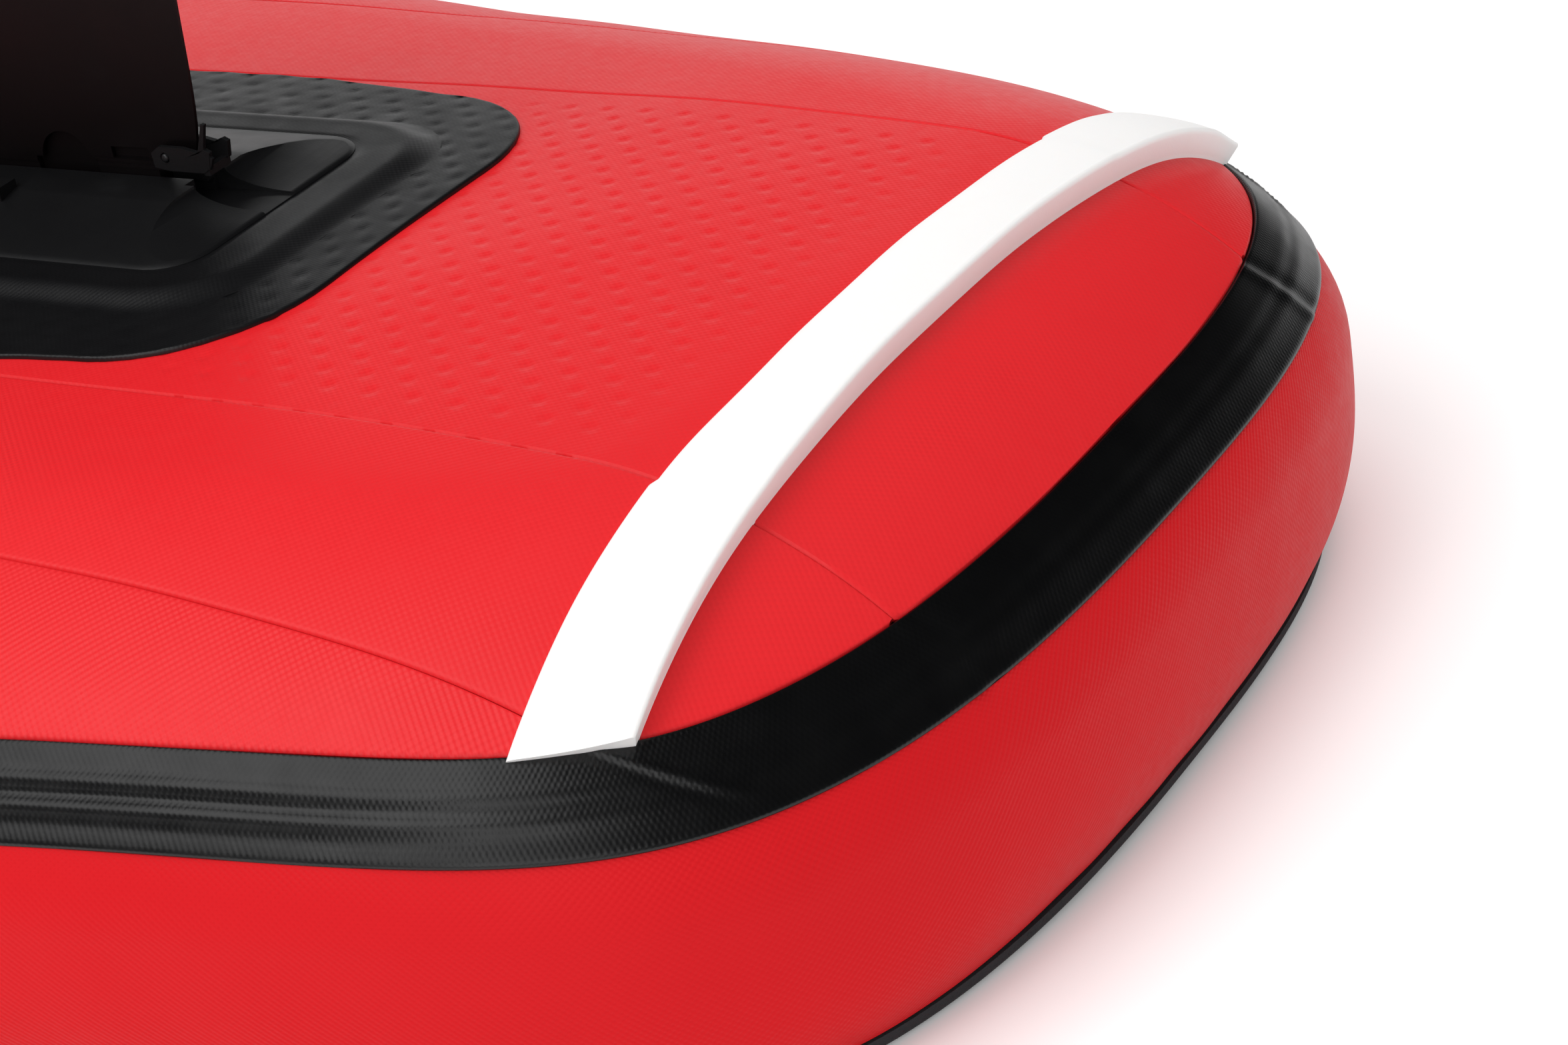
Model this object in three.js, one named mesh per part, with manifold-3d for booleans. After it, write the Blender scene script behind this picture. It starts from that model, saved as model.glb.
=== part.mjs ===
// Inflatable paddle board, lying bottom up, with a slide-in centre fin.
// Millimetres, +Z up. The tail points along +X and the nose along -X.
import * as THREE from 'three';
import { mergeVertices } from 'three/addons/utils/BufferGeometryUtils.js';
import Module from 'manifold-3d';

const wasm = await Module();
wasm.setup();

// ---- Driving dimensions -------------------------------------------------
const BOARD_LENGTH = 3200;
const MID_HALF_WIDTH = 400;
const TAIL_HALF_WIDTH = 240;      // half width of the tail block before it widens
const TAIL_TAPER = [0.5766, 0.2988]; // widening per metre and per square metre
const TAIL_REACH = 725;           // length over which the tail corner is rounded
const TAIL_SQUARENESS = 14.23;
const TAIL_ROUNDNESS = 2.4545;
const TAPER_END = 450;
const WIDE_POINT = 1500;          // distance from the tail to the widest section
const NOSE_POWERS = [2.5, 1.8];

const UPPER_HEIGHT = 75;          // from the widest line up to the bottom skin
const LOWER_HEIGHT = 67.8;        // from the widest line down to the deck skin
const RAIL_INSET = 120.8;         // plan width of the rounded upper rail
const RAIL_POWER = 1.804;
const WALL_TUCK = 16.1;           // how far the wall tucks in at the deck
const WALL_POWER = 2.854;
const WALL_END = 0.985;           // the wall stops just short of the deck skin

const TAIL_KICK_START = 267.5;
const TAIL_KICK = [15.29, -3.073]; // drop at 200 mm past the start, square and cube
const NOSE_ROCKER_START = 1700;
const NOSE_ROCKER = 150;
const NOSE_ROCKER_POWER = 2.2;
const EDGE_DROP = 21.9;           // the slab is bowed, so its edges sit lower
const BOW_HALF_WIDTH = 308;
const TILT = THREE.MathUtils.degToRad(2.16); // nose tip and kick pad share the floor

const SKIN = 1.2;                 // coated fabric layer
const GAP = 0.3;
const CORE_CLEARANCE = 8;
const TAPE_INSETS = [28, 18, 9.3];
const LAYER_INSET = 28.6;
const SEAMS = [121.5, 205];       // half widths of the two seam lines underneath
const PAD_THICKNESS = 5.2;
const PAD_INSET = 17.5;
const PAD_FRONT = 2150;

// ---- Materials ----------------------------------------------------------
function material(color, roughness, metalness = 0) {
  return new THREE.MeshStandardMaterial({ color, roughness, metalness });
}
const redFabric = material(0xd3141c, 0.45);
const blackFabric = material(0x141416, 0.45);
const blackPlastic = material(0x0d0d0f, 0.5);
const whitePlastic = material(0xf2eeec, 0.5);
const foam = material(0x1c1d20, 0.9);
const webbingCloth = material(0x18181a, 0.85);
const steel = material(0xb8bcc0, 0.25, 1);
const core = material(0xb9b2a8, 0.9);
const rubber = material(0x101010, 0.8);

// ---- Plan outline -------------------------------------------------------
function tailWidth(u) {
  const metres = u / 1000;
  const widening = 1 + TAIL_TAPER[0] * metres + TAIL_TAPER[1] * metres * metres;
  const along = Math.max(0, (TAIL_REACH - u) / TAIL_REACH);
  return TAIL_HALF_WIDTH * widening * (1 - along ** TAIL_SQUARENESS) ** (1 / TAIL_ROUNDNESS);
}

// Half width at the distance u from the tail end.
function halfWidth(u) {
  if (u <= TAPER_END) {
    return tailWidth(u);
  }
  if (u <= WIDE_POINT) {
    const span = WIDE_POINT - TAPER_END;
    const t = (u - TAPER_END) / span;
    const startSlope = (tailWidth(TAPER_END) - tailWidth(TAPER_END - 1)) * span;
    const rise = MID_HALF_WIDTH - tailWidth(TAPER_END);
    return tailWidth(TAPER_END) + rise * t * t * (3 - 2 * t) + startSlope * t * (1 - t) ** 2;
  }
  const t = Math.min(1, (u - WIDE_POINT) / (BOARD_LENGTH - WIDE_POINT));
  return MID_HALF_WIDTH * (1 - t ** NOSE_POWERS[0]) ** (1 / NOSE_POWERS[1]);
}

function stationList() {
  const list = [];
  const tailEnd = 80;
  for (let k = 0; k <= 6; k += 1) {
    const angle = THREE.MathUtils.degToRad(tailEnd * k / 6);
    list.push(TAIL_REACH * (1 - Math.cos(angle) ** (2 / TAIL_SQUARENESS)));
  }
  const start = list[list.length - 1];
  const noseStart = 2700;
  for (let k = 1; k <= 15; k += 1) {
    list.push(start + (noseStart - start) * (k / 15) ** 1.3);
  }
  const reach = BOARD_LENGTH - WIDE_POINT;
  const noseAngle = Math.asin(((noseStart - WIDE_POINT) / reach) ** (NOSE_POWERS[0] / 2));
  for (let k = 1; k <= 7; k += 1) {
    const angle = noseAngle + (Math.PI / 2 - noseAngle) * k / 7;
    list.push(WIDE_POINT + reach * Math.sin(angle) ** (2 / NOSE_POWERS[0]));
  }
  return list;
}
const STATIONS = stationList();
const LAST = STATIONS.length - 1;

// Outline point and outward plan normal at station k, on side -1 or +1.
function outlinePoint(u, side) {
  if (u <= 0) {
    return { x: 0, y: 0, nx: 1, ny: 0 };
  }
  if (u >= BOARD_LENGTH - 1e-6) {
    return { x: -BOARD_LENGTH, y: 0, nx: -1, ny: 0 };
  }
  const step = 0.02;
  const slope = (halfWidth(u + step) - halfWidth(u - step)) / (2 * step);
  const length = Math.hypot(slope, 1);
  return { x: -u, y: side * halfWidth(u), nx: slope / length, ny: side / length };
}

const loop = [];
for (let k = 0; k <= LAST; k += 1) {
  loop.push(outlinePoint(STATIONS[k], -1));
}
for (let k = LAST - 1; k >= 1; k -= 1) {
  loop.push(outlinePoint(STATIONS[k], 1));
}

const fineOutline = [];
for (let k = 0; k <= 500; k += 1) {
  const angle = Math.PI * k / 500;
  const u = BOARD_LENGTH * (1 - Math.cos(angle)) / 2;
  fineOutline.push([-u, halfWidth(u)]);
}

// Distance in plan from a point on the board to its outline.
function edgeDistance(x, y) {
  let best = Infinity;
  for (let k = 0; k < fineOutline.length - 1; k += 1) {
    const [ax, ay] = fineOutline[k];
    const dx = fineOutline[k + 1][0] - ax;
    const dy = fineOutline[k + 1][1] - ay;
    const t = THREE.MathUtils.clamp(((x - ax) * dx + (Math.abs(y) - ay) * dy) / (dx * dx + dy * dy), 0, 1);
    best = Math.min(best, Math.hypot(x - ax - t * dx, Math.abs(y) - ay - t * dy));
  }
  return best;
}

// ---- Surfaces -----------------------------------------------------------
function bend(x, y) {
  const kick = Math.max(0, TAIL_KICK_START + x) / 200;
  const nose = Math.max(0, -x - NOSE_ROCKER_START) / (BOARD_LENGTH - NOSE_ROCKER_START);
  const bow = EDGE_DROP * (y / Math.max(BOW_HALF_WIDTH, halfWidth(-x))) ** 2;
  return TAIL_KICK[0] * kick ** 2 + TAIL_KICK[1] * kick ** 3 + NOSE_ROCKER * nose ** NOSE_ROCKER_POWER + bow;
}

function crownHeight(inset) {
  const s = THREE.MathUtils.clamp(1 - inset / RAIL_INSET, 0, 1);
  return UPPER_HEIGHT * (1 - s ** RAIL_POWER) ** (1 / RAIL_POWER);
}

function topZ(x, y) {
  return crownHeight(edgeDistance(x, y)) - bend(x, y);
}

function deckZ(x, y) {
  return -LOWER_HEIGHT - bend(x, y);
}

// A surface point moved out along its normal by grow.
function topPoint(x, y, grow) {
  const step = 0.5;
  const sx = (topZ(x + step, y) - topZ(x - step, y)) / (2 * step);
  const sy = (topZ(x, y + step) - topZ(x, y - step)) / (2 * step);
  const length = Math.hypot(sx, sy, 1);
  return [x - grow * sx / length, y - grow * sy / length, topZ(x, y) + grow / length];
}

function deckPoint(x, y, grow) {
  return [x, y, deckZ(x, y) - grow];
}

// Rail points: "upper" is a plan inset, "lower" a fraction from the widest line to the deck.
function upperRail(p, inset, grow) {
  const s = 1 - inset / RAIL_INSET;
  const rise = UPPER_HEIGHT / RAIL_INSET * s ** (RAIL_POWER - 1);
  const slope = inset < 0.01 ? 1e6 : rise * (1 - s ** RAIL_POWER) ** (1 / RAIL_POWER - 1);
  const length = Math.hypot(slope, 1);
  const out = grow * slope / length - inset;
  const x = p.x - p.nx * inset;
  const y = p.y - p.ny * inset;
  return [p.x + p.nx * out, p.y + p.ny * out, crownHeight(inset) - bend(x, y) + grow / length];
}

function lowerRail(p, fraction, grow) {
  const tuck = WALL_TUCK * fraction ** WALL_POWER;
  const slope = WALL_TUCK * WALL_POWER * fraction ** (WALL_POWER - 1) / LOWER_HEIGHT;
  const length = Math.hypot(1, slope);
  const out = grow / length - tuck;
  const x = p.x - p.nx * tuck;
  const y = p.y - p.ny * tuck;
  const z = -LOWER_HEIGHT * fraction - bend(x, y) - grow * slope / length;
  return [p.x + p.nx * out, p.y + p.ny * out, z];
}

// ---- Mesh helpers -------------------------------------------------------
function geometryOf(points, triangles) {
  const geometry = new THREE.BufferGeometry();
  geometry.setAttribute('position', new THREE.Float32BufferAttribute(points.flat(), 3));
  geometry.setIndex(triangles.flat());
  return geometry;
}

// Volume times six, used to turn a closed shell's faces outward.
function signedVolume(points, triangles) {
  let total = 0;
  for (const [a, b, c] of triangles) {
    const [p, q, r] = [points[a], points[b], points[c]];
    total += p[0] * (q[1] * r[2] - q[2] * r[1]);
    total += p[1] * (q[2] * r[0] - q[0] * r[2]);
    total += p[2] * (q[0] * r[1] - q[1] * r[0]);
  }
  return total;
}

function closedGeometry(points, triangles) {
  const outward = signedVolume(points, triangles) > 0;
  return geometryOf(points, outward ? triangles : triangles.map(([a, b, c]) => [a, c, b]));
}

// Closed sheet between two grids of points. With wrap, the last row joins the first.
function sheet(inner, outer, wrap = false) {
  const rows = inner.length;
  const columns = inner[0].length;
  const points = [...inner.flat(), ...outer.flat()];
  const at = (layer, i, j) => layer * rows * columns + (i % rows) * columns + j;
  const triangles = [];
  const quad = (a, b, c, d) => triangles.push([a, b, c], [a, c, d]);
  const rowSpans = wrap ? rows : rows - 1;
  for (let i = 0; i < rowSpans; i += 1) {
    for (let j = 0; j < columns - 1; j += 1) {
      quad(at(0, i, j), at(0, i, j + 1), at(0, i + 1, j + 1), at(0, i + 1, j));
      quad(at(1, i, j), at(1, i + 1, j), at(1, i + 1, j + 1), at(1, i, j + 1));
    }
    quad(at(0, i, 0), at(0, i + 1, 0), at(1, i + 1, 0), at(1, i, 0));
    const j = columns - 1;
    quad(at(0, i, j), at(1, i, j), at(1, i + 1, j), at(0, i + 1, j));
  }
  if (!wrap) {
    for (let j = 0; j < columns - 1; j += 1) {
      quad(at(0, 0, j), at(1, 0, j), at(1, 0, j + 1), at(0, 0, j + 1));
      const i = rows - 1;
      quad(at(0, i, j), at(0, i, j + 1), at(1, i, j + 1), at(1, i, j));
    }
  }
  return closedGeometry(points, triangles);
}

function toManifold(geometry) {
  const bare = geometry.clone();
  bare.deleteAttribute('normal');
  bare.deleteAttribute('uv');
  const merged = mergeVertices(bare, 1e-4);
  const vertProperties = new Float32Array(merged.attributes.position.array);
  const triVerts = new Uint32Array(merged.index.array);
  return new wasm.Manifold(new wasm.Mesh({ numProp: 3, vertProperties, triVerts }));
}

function fromManifold(solid) {
  const mesh = solid.getMesh();
  const geometry = new THREE.BufferGeometry();
  geometry.setAttribute('position', new THREE.BufferAttribute(new Float32Array(mesh.vertProperties), 3));
  geometry.setIndex(new THREE.BufferAttribute(new Uint32Array(mesh.triVerts), 1));
  return geometry;
}

function cut(geometry, ...tools) {
  let solid = toManifold(geometry);
  for (const tool of tools) {
    solid = solid.subtract(toManifold(tool));
  }
  return fromManifold(solid);
}

function join(geometry, ...others) {
  let solid = toManifold(geometry);
  for (const other of others) {
    solid = solid.add(toManifold(other));
  }
  return fromManifold(solid);
}

// Box given by its low and high corners.
function block(low, high) {
  const geometry = new THREE.BoxGeometry(high[0] - low[0], high[1] - low[1], high[2] - low[2]);
  geometry.translate((low[0] + high[0]) / 2, (low[1] + high[1]) / 2, (low[2] + high[2]) / 2);
  return geometry;
}

// Flat profile in X and Z, given thickness along Y and centred on Y = 0.
function extrudeAcross(shape, width) {
  const geometry = new THREE.ExtrudeGeometry(shape, { depth: width, bevelEnabled: false, curveSegments: 6 });
  geometry.rotateX(Math.PI / 2);
  geometry.translate(0, width / 2, 0);
  return geometry;
}

function acrossCylinder(radius, width, x, z) {
  const geometry = new THREE.CylinderGeometry(radius, radius, width, 14);
  geometry.translate(x, 0, z);
  return geometry;
}

// Turned ring about Z from pairs of radius and height.
function turned(pairs, segments = 20) {
  const profile = pairs.map(([radius, height]) => new THREE.Vector2(radius, height));
  profile.push(profile[0].clone());
  const geometry = new THREE.LatheGeometry(profile, segments);
  geometry.rotateX(Math.PI / 2);
  const merged = mergeVertices(stripped(geometry), 1e-4);
  const points = [];
  for (let k = 0; k < merged.attributes.position.count; k += 1) {
    const p = merged.attributes.position;
    points.push([p.getX(k), p.getY(k), p.getZ(k)]);
  }
  const triangles = [];
  for (let k = 0; k < merged.index.count; k += 3) {
    const t = [merged.index.getX(k), merged.index.getX(k + 1), merged.index.getX(k + 2)];
    if (t[0] !== t[1] && t[1] !== t[2] && t[0] !== t[2]) {
      triangles.push(t);
    }
  }
  return closedGeometry(points, triangles);
}

function stripped(geometry) {
  const bare = geometry.clone();
  bare.deleteAttribute('normal');
  bare.deleteAttribute('uv');
  return bare;
}

// ---- Scene graph --------------------------------------------------------
const object = new THREE.Group();
const board = new THREE.Group();
object.add(board);
board.rotation.y = TILT;

// Height of a tilted board point, and the board's lowest point at the nose.
function tiltedZ(x, z) {
  return z * Math.cos(TILT) - x * Math.sin(TILT);
}
function tiltedX(x, z) {
  return x * Math.cos(TILT) + z * Math.sin(TILT);
}
let floorLevel = Infinity;
let tailReach = -Infinity;
let noseReach = Infinity;
for (const p of loop) {
  for (let k = 0; k <= 10; k += 1) {
    const [x, , z] = lowerRail(p, WALL_END * k / 10, 0);
    tailReach = Math.max(tailReach, tiltedX(x, z));
    noseReach = Math.min(noseReach, tiltedX(x, z));
    if (x < -BOARD_LENGTH / 2) {
      floorLevel = Math.min(floorLevel, tiltedZ(x, z));
    }
  }
}
board.position.set(-(tailReach + noseReach) / 2, 0, -floorLevel);

function add(parent, name, geometry, look) {
  const mesh = new THREE.Mesh(geometry, look);
  mesh.name = name;
  parent.add(mesh);
  return mesh;
}

// ---- Air chamber and its skins -----------------------------------------
// Rows run across the board between the two ring points of a station.
function rowsAcross(inset, columns, point, low = 1, high = LAST - 1) {
  const rows = [];
  for (let k = low; k <= high; k += 1) {
    const p = loop[k];
    const x = p.x - p.nx * inset;
    const y = p.y - p.ny * inset;
    rows.push(columns.map((c) => point(x, c * y)));
  }
  return rows;
}

function airChamber() {
  const grow = -CORE_CLEARANCE;
  const rings = [58, ...TAPE_INSETS, 2, 0].map((inset) => loop.map((p) => upperRail(p, inset, grow)));
  for (const fraction of [0.45, 0.75, 1]) {
    rings.push(loop.map((p) => lowerRail(p, fraction, grow)));
  }
  const count = loop.length;
  const points = rings.flat();
  const triangles = [];
  for (let r = 0; r < rings.length - 1; r += 1) {
    for (let i = 0; i < count; i += 1) {
      const a = r * count + i;
      const b = r * count + (i + 1) % count;
      triangles.push([a, b, b + count], [a, b + count, a + count]);
    }
  }
  const cap = (ring, columns, point, flip) => {
    const base = ring * count;
    let previous = [base];
    for (let k = 1; k <= LAST; k += 1) {
      const near = base + k;
      const far = base + count - k;
      const row = [near];
      if (k === LAST) {
        row.length = 0;
        row.push(near);
      } else {
        for (let c = 1; c < columns; c += 1) {
          const [x, y] = points[near];
          row.push(points.push(point(x, y * (1 - 2 * c / columns))) - 1);
        }
        row.push(far);
      }
      const width = Math.max(previous.length, row.length) - 1;
      for (let c = 0; c < width; c += 1) {
        const a = previous[Math.min(c, previous.length - 1)];
        const b = previous[Math.min(c + 1, previous.length - 1)];
        const d = row[Math.min(c, row.length - 1)];
        const e = row[Math.min(c + 1, row.length - 1)];
        const pair = [[a, e, d], [a, b, e]];
        for (const t of pair) {
          if (t[0] !== t[1] && t[1] !== t[2] && t[0] !== t[2]) {
            triangles.push(flip ? [t[0], t[2], t[1]] : t);
          }
        }
      }
      previous = row;
    }
  };
  cap(0, 6, (x, y) => topPoint(x, y, grow), false);
  cap(rings.length - 1, 6, (x, y) => deckPoint(x, y, grow), true);
  return closedGeometry(points, triangles);
}

function ringBand(makers, innerGrow, outerGrow) {
  const inner = loop.map((p) => makers.map((make) => make(p, innerGrow)));
  const outer = loop.map((p) => makers.map((make) => make(p, outerGrow)));
  return sheet(inner, outer, true);
}

// A layer of the bottom skin between two half widths, limited by the tape.
function bottomLayer(from, to, side, columns) {
  const inner = [];
  const outer = [];
  for (let k = 1; k < LAST; k += 1) {
    const p = loop[k];
    const x = p.x - p.nx * LAYER_INSET;
    const limit = Math.abs(p.y - p.ny * LAYER_INSET);
    if (limit > from + 8) {
      const end = Math.min(to, limit);
      const ys = [];
      for (let c = 0; c <= columns; c += 1) {
        ys.push(from < 0 ? end * (2 * c / columns - 1) : side * (from + (end - from) * c / columns));
      }
      inner.push(ys.map((y) => topPoint(x, y, -SKIN)));
      outer.push(ys.map((y) => topPoint(x, y, 0)));
    }
  }
  return sheet(inner, outer);
}

const VALVE_U = 2500;
const valveX = -VALVE_U;
const valveSkinZ = deckZ(valveX, 0);

// A round hole through the deck for the valve, upright in the floor's frame.
function valveHole(radius, depth) {
  const geometry = new THREE.CylinderGeometry(radius, radius, depth, 24);
  geometry.rotateX(Math.PI / 2);
  geometry.rotateY(-TILT);
  geometry.translate(valveX, 0, valveSkinZ);
  return geometry;
}

function deckSheet(inset, from, to, low, high) {
  const columns = [-1, -2 / 3, -1 / 3, 0, 1 / 3, 2 / 3, 1];
  const inner = rowsAcross(inset, columns, (x, y) => deckPoint(x, y, from), low, high);
  const outer = rowsAcross(inset, columns, (x, y) => deckPoint(x, y, to), low, high);
  return sheet(inner, outer);
}

const CORE_HOLE_RADIUS = 33;
add(board, 'drop_stitch_core', cut(airChamber(), valveHole(CORE_HOLE_RADIUS, 150)), core);
add(board, 'bottom_center_layer', bottomLayer(-1, SEAMS[0], 1, 4), redFabric);
for (const [name, side] of [['left', -1], ['right', 1]]) {
  add(board, `bottom_side_layer_${name}`, bottomLayer(SEAMS[0] + GAP, SEAMS[1], side, 2), redFabric);
  add(board, `bottom_rail_layer_${name}`, bottomLayer(SEAMS[1] + GAP, MID_HALF_WIDTH, side, 3), redFabric);
}
const tapeMakers = TAPE_INSETS.map((inset) => (p, grow) => upperRail(p, inset, grow));
add(board, 'bottom_seam_tape', ringBand(tapeMakers, -SKIN, 1), blackFabric);
const wallMakers = [
  (p, grow) => upperRail(p, 8.7, grow),
  (p, grow) => upperRail(p, 1.5, grow),
  (p, grow) => lowerRail(p, 0.25, grow),
  (p, grow) => lowerRail(p, 0.7, grow),
  (p, grow) => lowerRail(p, WALL_END, grow),
];
add(board, 'side_wall', ringBand(wallMakers, -SKIN, 0), redFabric);
const deckSkin = deckSheet(WALL_TUCK + 1.4, -SKIN, 0, 1, LAST - 1);
add(board, 'deck_skin', cut(deckSkin, valveHole(26, 40)), blackFabric);

// ---- Deck pad and kick pad ---------------------------------------------
const LEASH_U = 330;
const HANDLE_U = 1500;
const HANDLE_HALF = 130;
const padLast = STATIONS.findIndex((u) => u > PAD_FRONT) - 1;
const padHoles = [
  block([-LEASH_U - 34, -34, -140], [-LEASH_U + 34, 34, -40]),
  block([-HANDLE_U - HANDLE_HALF - 45, -32, -140], [-HANDLE_U + HANDLE_HALF + 45, 32, -40]),
];
const padSheet = deckSheet(PAD_INSET, GAP, PAD_THICKNESS + GAP, 1, padLast);
add(board, 'deck_pad', cut(padSheet, ...padHoles), foam);

const DECK_PATCH_GAP = 2;         // the deck skin's facets sag this far below the curve
const KICK_U = [62, 165];
const KICK_HALF = 150;
const KICK_GAP = 1.6;
function kickPad() {
  const upper = [];
  const lower = [];
  for (let i = 0; i <= 4; i += 1) {
    const x = -KICK_U[0] - (KICK_U[1] - KICK_U[0]) * i / 4;
    const trim = i === 0 || i === 4 ? 12 : 0;
    const ys = [-1, -0.6, -0.2, 0.2, 0.6, 1].map((c) => c * (KICK_HALF - trim));
    upper.push(ys.map((y) => deckPoint(x, y, PAD_THICKNESS + GAP + KICK_GAP)));
    const bottomZ = (floorLevel + x * Math.sin(TILT)) / Math.cos(TILT);
    lower.push(ys.map((y) => [x, y, bottomZ]));
  }
  return sheet(upper, lower);
}
add(board, 'kick_pad', kickPad(), foam);

// ---- White water release edge across the tail --------------------------
const EDGE_FRONT = 114.9;         // distance from the tail to the thin front lip
const EDGE_WIDTH = 29.8;
const EDGE_HEIGHT = 10;
const EDGE_LIP = 1.6;
const EDGE_HALF = 210;
function releaseEdge() {
  const inner = [];
  const outer = [];
  const steps = 22;
  for (let k = 0; k <= steps; k += 1) {
    const y = EDGE_HALF * Math.sin((k / steps - 0.5) * Math.PI);
    const front = -EDGE_FRONT;
    const back = front + EDGE_WIDTH;
    inner.push([topPoint(front, y, 1), topPoint((front + back) / 2, y, 1), topPoint(back, y, 1)]);
    const heights = [EDGE_LIP, (EDGE_LIP + EDGE_HEIGHT) / 2, EDGE_HEIGHT].map((h) => h + 1);
    const xs = [front, (front + back) / 2, back];
    outer.push(xs.map((x, j) => topPoint(x, y, heights[j])));
  }
  return sheet(inner, outer);
}
add(board, 'tail_release_edge', releaseEdge(), whitePlastic);

// ---- Fin patch, flange and box ------------------------------------------
const FIN_PATCH_U = [283, 735];
const FLANGE_U = [307, 711];
const FLANGE_HALF = 79;
const BOX_U = [337, 681];
const BOX_HALF = 56;
const BOX_TOP_HALF = 20;
const BOX_FLOOR = 79;             // channel floor height above the widest line
const BOX_LIP = 83.8;
const BOX_TOP = 87.4;
const CHANNEL_HALF = 6.5;
const SLOT_HALF = 3.4;
const CHANNEL_FRONT = 592;

// Rounded rectangle in plan, from two distances and a half width.
function roundedPlan(range, half, radius, segments = 6) {
  const points = [];
  const corners = [[1, -1, -90], [1, 1, 0], [-1, 1, 90], [-1, -1, 180]];
  const middle = -(range[0] + range[1]) / 2;
  const reach = (range[1] - range[0]) / 2 - radius;
  for (const [sx, sy, start] of corners) {
    for (let k = 0; k <= segments; k += 1) {
      const angle = THREE.MathUtils.degToRad(start + 90 * k / segments);
      const x = middle + sx * reach + radius * Math.cos(angle);
      points.push([x, sy * (half - radius) + radius * Math.sin(angle)]);
    }
  }
  return points;
}

function planShape(points) {
  return new THREE.Shape(points.map(([x, y]) => new THREE.Vector2(x, y)));
}

function finPatch() {
  const radius = 62;
  const base = 109;
  const us = [];
  for (let k = 1; k <= 5; k += 1) {
    const angle = Math.PI / 2 * k / 5;
    us.push(FIN_PATCH_U[0] + radius * (1 - Math.cos(angle)));
  }
  us.push(430, 509);
  const rows = [...us, ...us.map((u) => FIN_PATCH_U[0] + FIN_PATCH_U[1] - u).reverse()];
  const make = (grow) => rows.map((u) => {
    const end = Math.min(u - FIN_PATCH_U[0], FIN_PATCH_U[1] - u);
    const inside = Math.max(0, radius - end);
    const flare = 9 * THREE.MathUtils.clamp((end - radius) / 60, 0, 1);
    const half = base - radius + Math.sqrt(radius ** 2 - inside ** 2) + flare;
    return [-1, -0.5, 0, 0.5, 1].map((c) => topPoint(-u, c * half, grow));
  });
  return sheet(make(GAP), make(GAP + SKIN));
}
add(board, 'fin_patch', finPatch(), blackFabric);

function finFlange() {
  const shape = planShape(roundedPlan(FLANGE_U, FLANGE_HALF, 46));
  const holePoints = roundedPlan([BOX_U[0] - 0.6, BOX_U[1] + 0.6], BOX_HALF + 0.6, 18.6);
  shape.holes.push(new THREE.Path(holePoints.map(([x, y]) => new THREE.Vector2(x, y))));
  const geometry = new THREE.ExtrudeGeometry(shape, { depth: 1.9, bevelEnabled: false });
  geometry.translate(0, 0, UPPER_HEIGHT + GAP + SKIN + GAP + 0.2);
  return geometry;
}
add(board, 'fin_box_flange', finFlange(), blackFabric);

function loftOutlines(outlines) {
  const count = outlines[0].points.length;
  const points = outlines.flatMap(({ points: ring, z }) => ring.map(([x, y]) => [x, y, z]));
  const triangles = [];
  for (let r = 0; r < outlines.length - 1; r += 1) {
    for (let i = 0; i < count; i += 1) {
      const a = r * count + i;
      const b = r * count + (i + 1) % count;
      triangles.push([a, b, b + count], [a, b + count, a + count]);
    }
  }
  const top = (outlines.length - 1) * count;
  for (let i = 1; i < count - 1; i += 1) {
    triangles.push([0, i + 1, i], [top, top + i, top + i + 1]);
  }
  return closedGeometry(points, triangles);
}

function finBox() {
  const base = UPPER_HEIGHT + GAP + SKIN + GAP + 0.2;
  const body = loftOutlines([
    { points: roundedPlan(BOX_U, BOX_HALF, 18), z: base },
    { points: roundedPlan(BOX_U, BOX_HALF, 18), z: base + 1.8 },
    { points: roundedPlan([BOX_U[0] + 26, BOX_U[1] - 26], BOX_TOP_HALF, 12), z: BOX_TOP },
  ]);
  const channel = block([-CHANNEL_FRONT, -CHANNEL_HALF, BOX_FLOOR], [-300, CHANNEL_HALF, BOX_LIP]);
  const slot = block([-CHANNEL_FRONT, -SLOT_HALF, BOX_FLOOR], [-300, SLOT_HALF, BOX_TOP + 5]);
  const ramp = planShape(roundedPlan([280, 372], 14, 13.9));
  const mouth = new THREE.ExtrudeGeometry(ramp, { depth: 20, bevelEnabled: false });
  mouth.translate(0, 0, BOX_FLOOR);
  return cut(body, channel, slot, mouth);
}
add(board, 'fin_box', finBox(), blackPlastic);

// ---- Fin, lock clip and clip pin ---------------------------------------
const FIN_BASE_Z = 90;
const FOOT_U = [385, 575];
const PIN_POINT = [-378, 96];
const BLADE_THICKNESS = 7;

function finBlade() {
  const shape = new THREE.Shape();
  shape.moveTo(-371, FIN_BASE_Z);
  shape.bezierCurveTo(-364, 104, -364, 118, -361, 152);
  shape.bezierCurveTo(-358, 190, -340, 240, -318, 296);
  shape.bezierCurveTo(-312, 314, -322, 320, -345, 312);
  shape.bezierCurveTo(-420, 284, -500, 220, -586, FIN_BASE_Z);
  shape.closePath();
  const blade = extrudeAcross(shape, BLADE_THICKNESS);
  const web = block([-FOOT_U[1], -3, 83], [-FOOT_U[0], 3, FIN_BASE_Z + 2]);
  const foot = block([-FOOT_U[1], -6, BOX_FLOOR + 0.35], [-FOOT_U[0], 6, BOX_LIP - 0.4]);
  const finger = acrossCylinder(11, 20, -426, 91);
  const lockSlot = block([-405, -6, 93], [-389, 6, 97.2]);
  const pinHole = acrossCylinder(1.9, 20, PIN_POINT[0], PIN_POINT[1]);
  const relief = block([-440, -4, BOX_LIP - 0.35], [-412, 4, 92]);
  const body = join(blade, web, foot);
  return cut(body, finger, lockSlot, pinHole, relief);
}
add(board, 'fin', finBlade(), blackPlastic);

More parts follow.
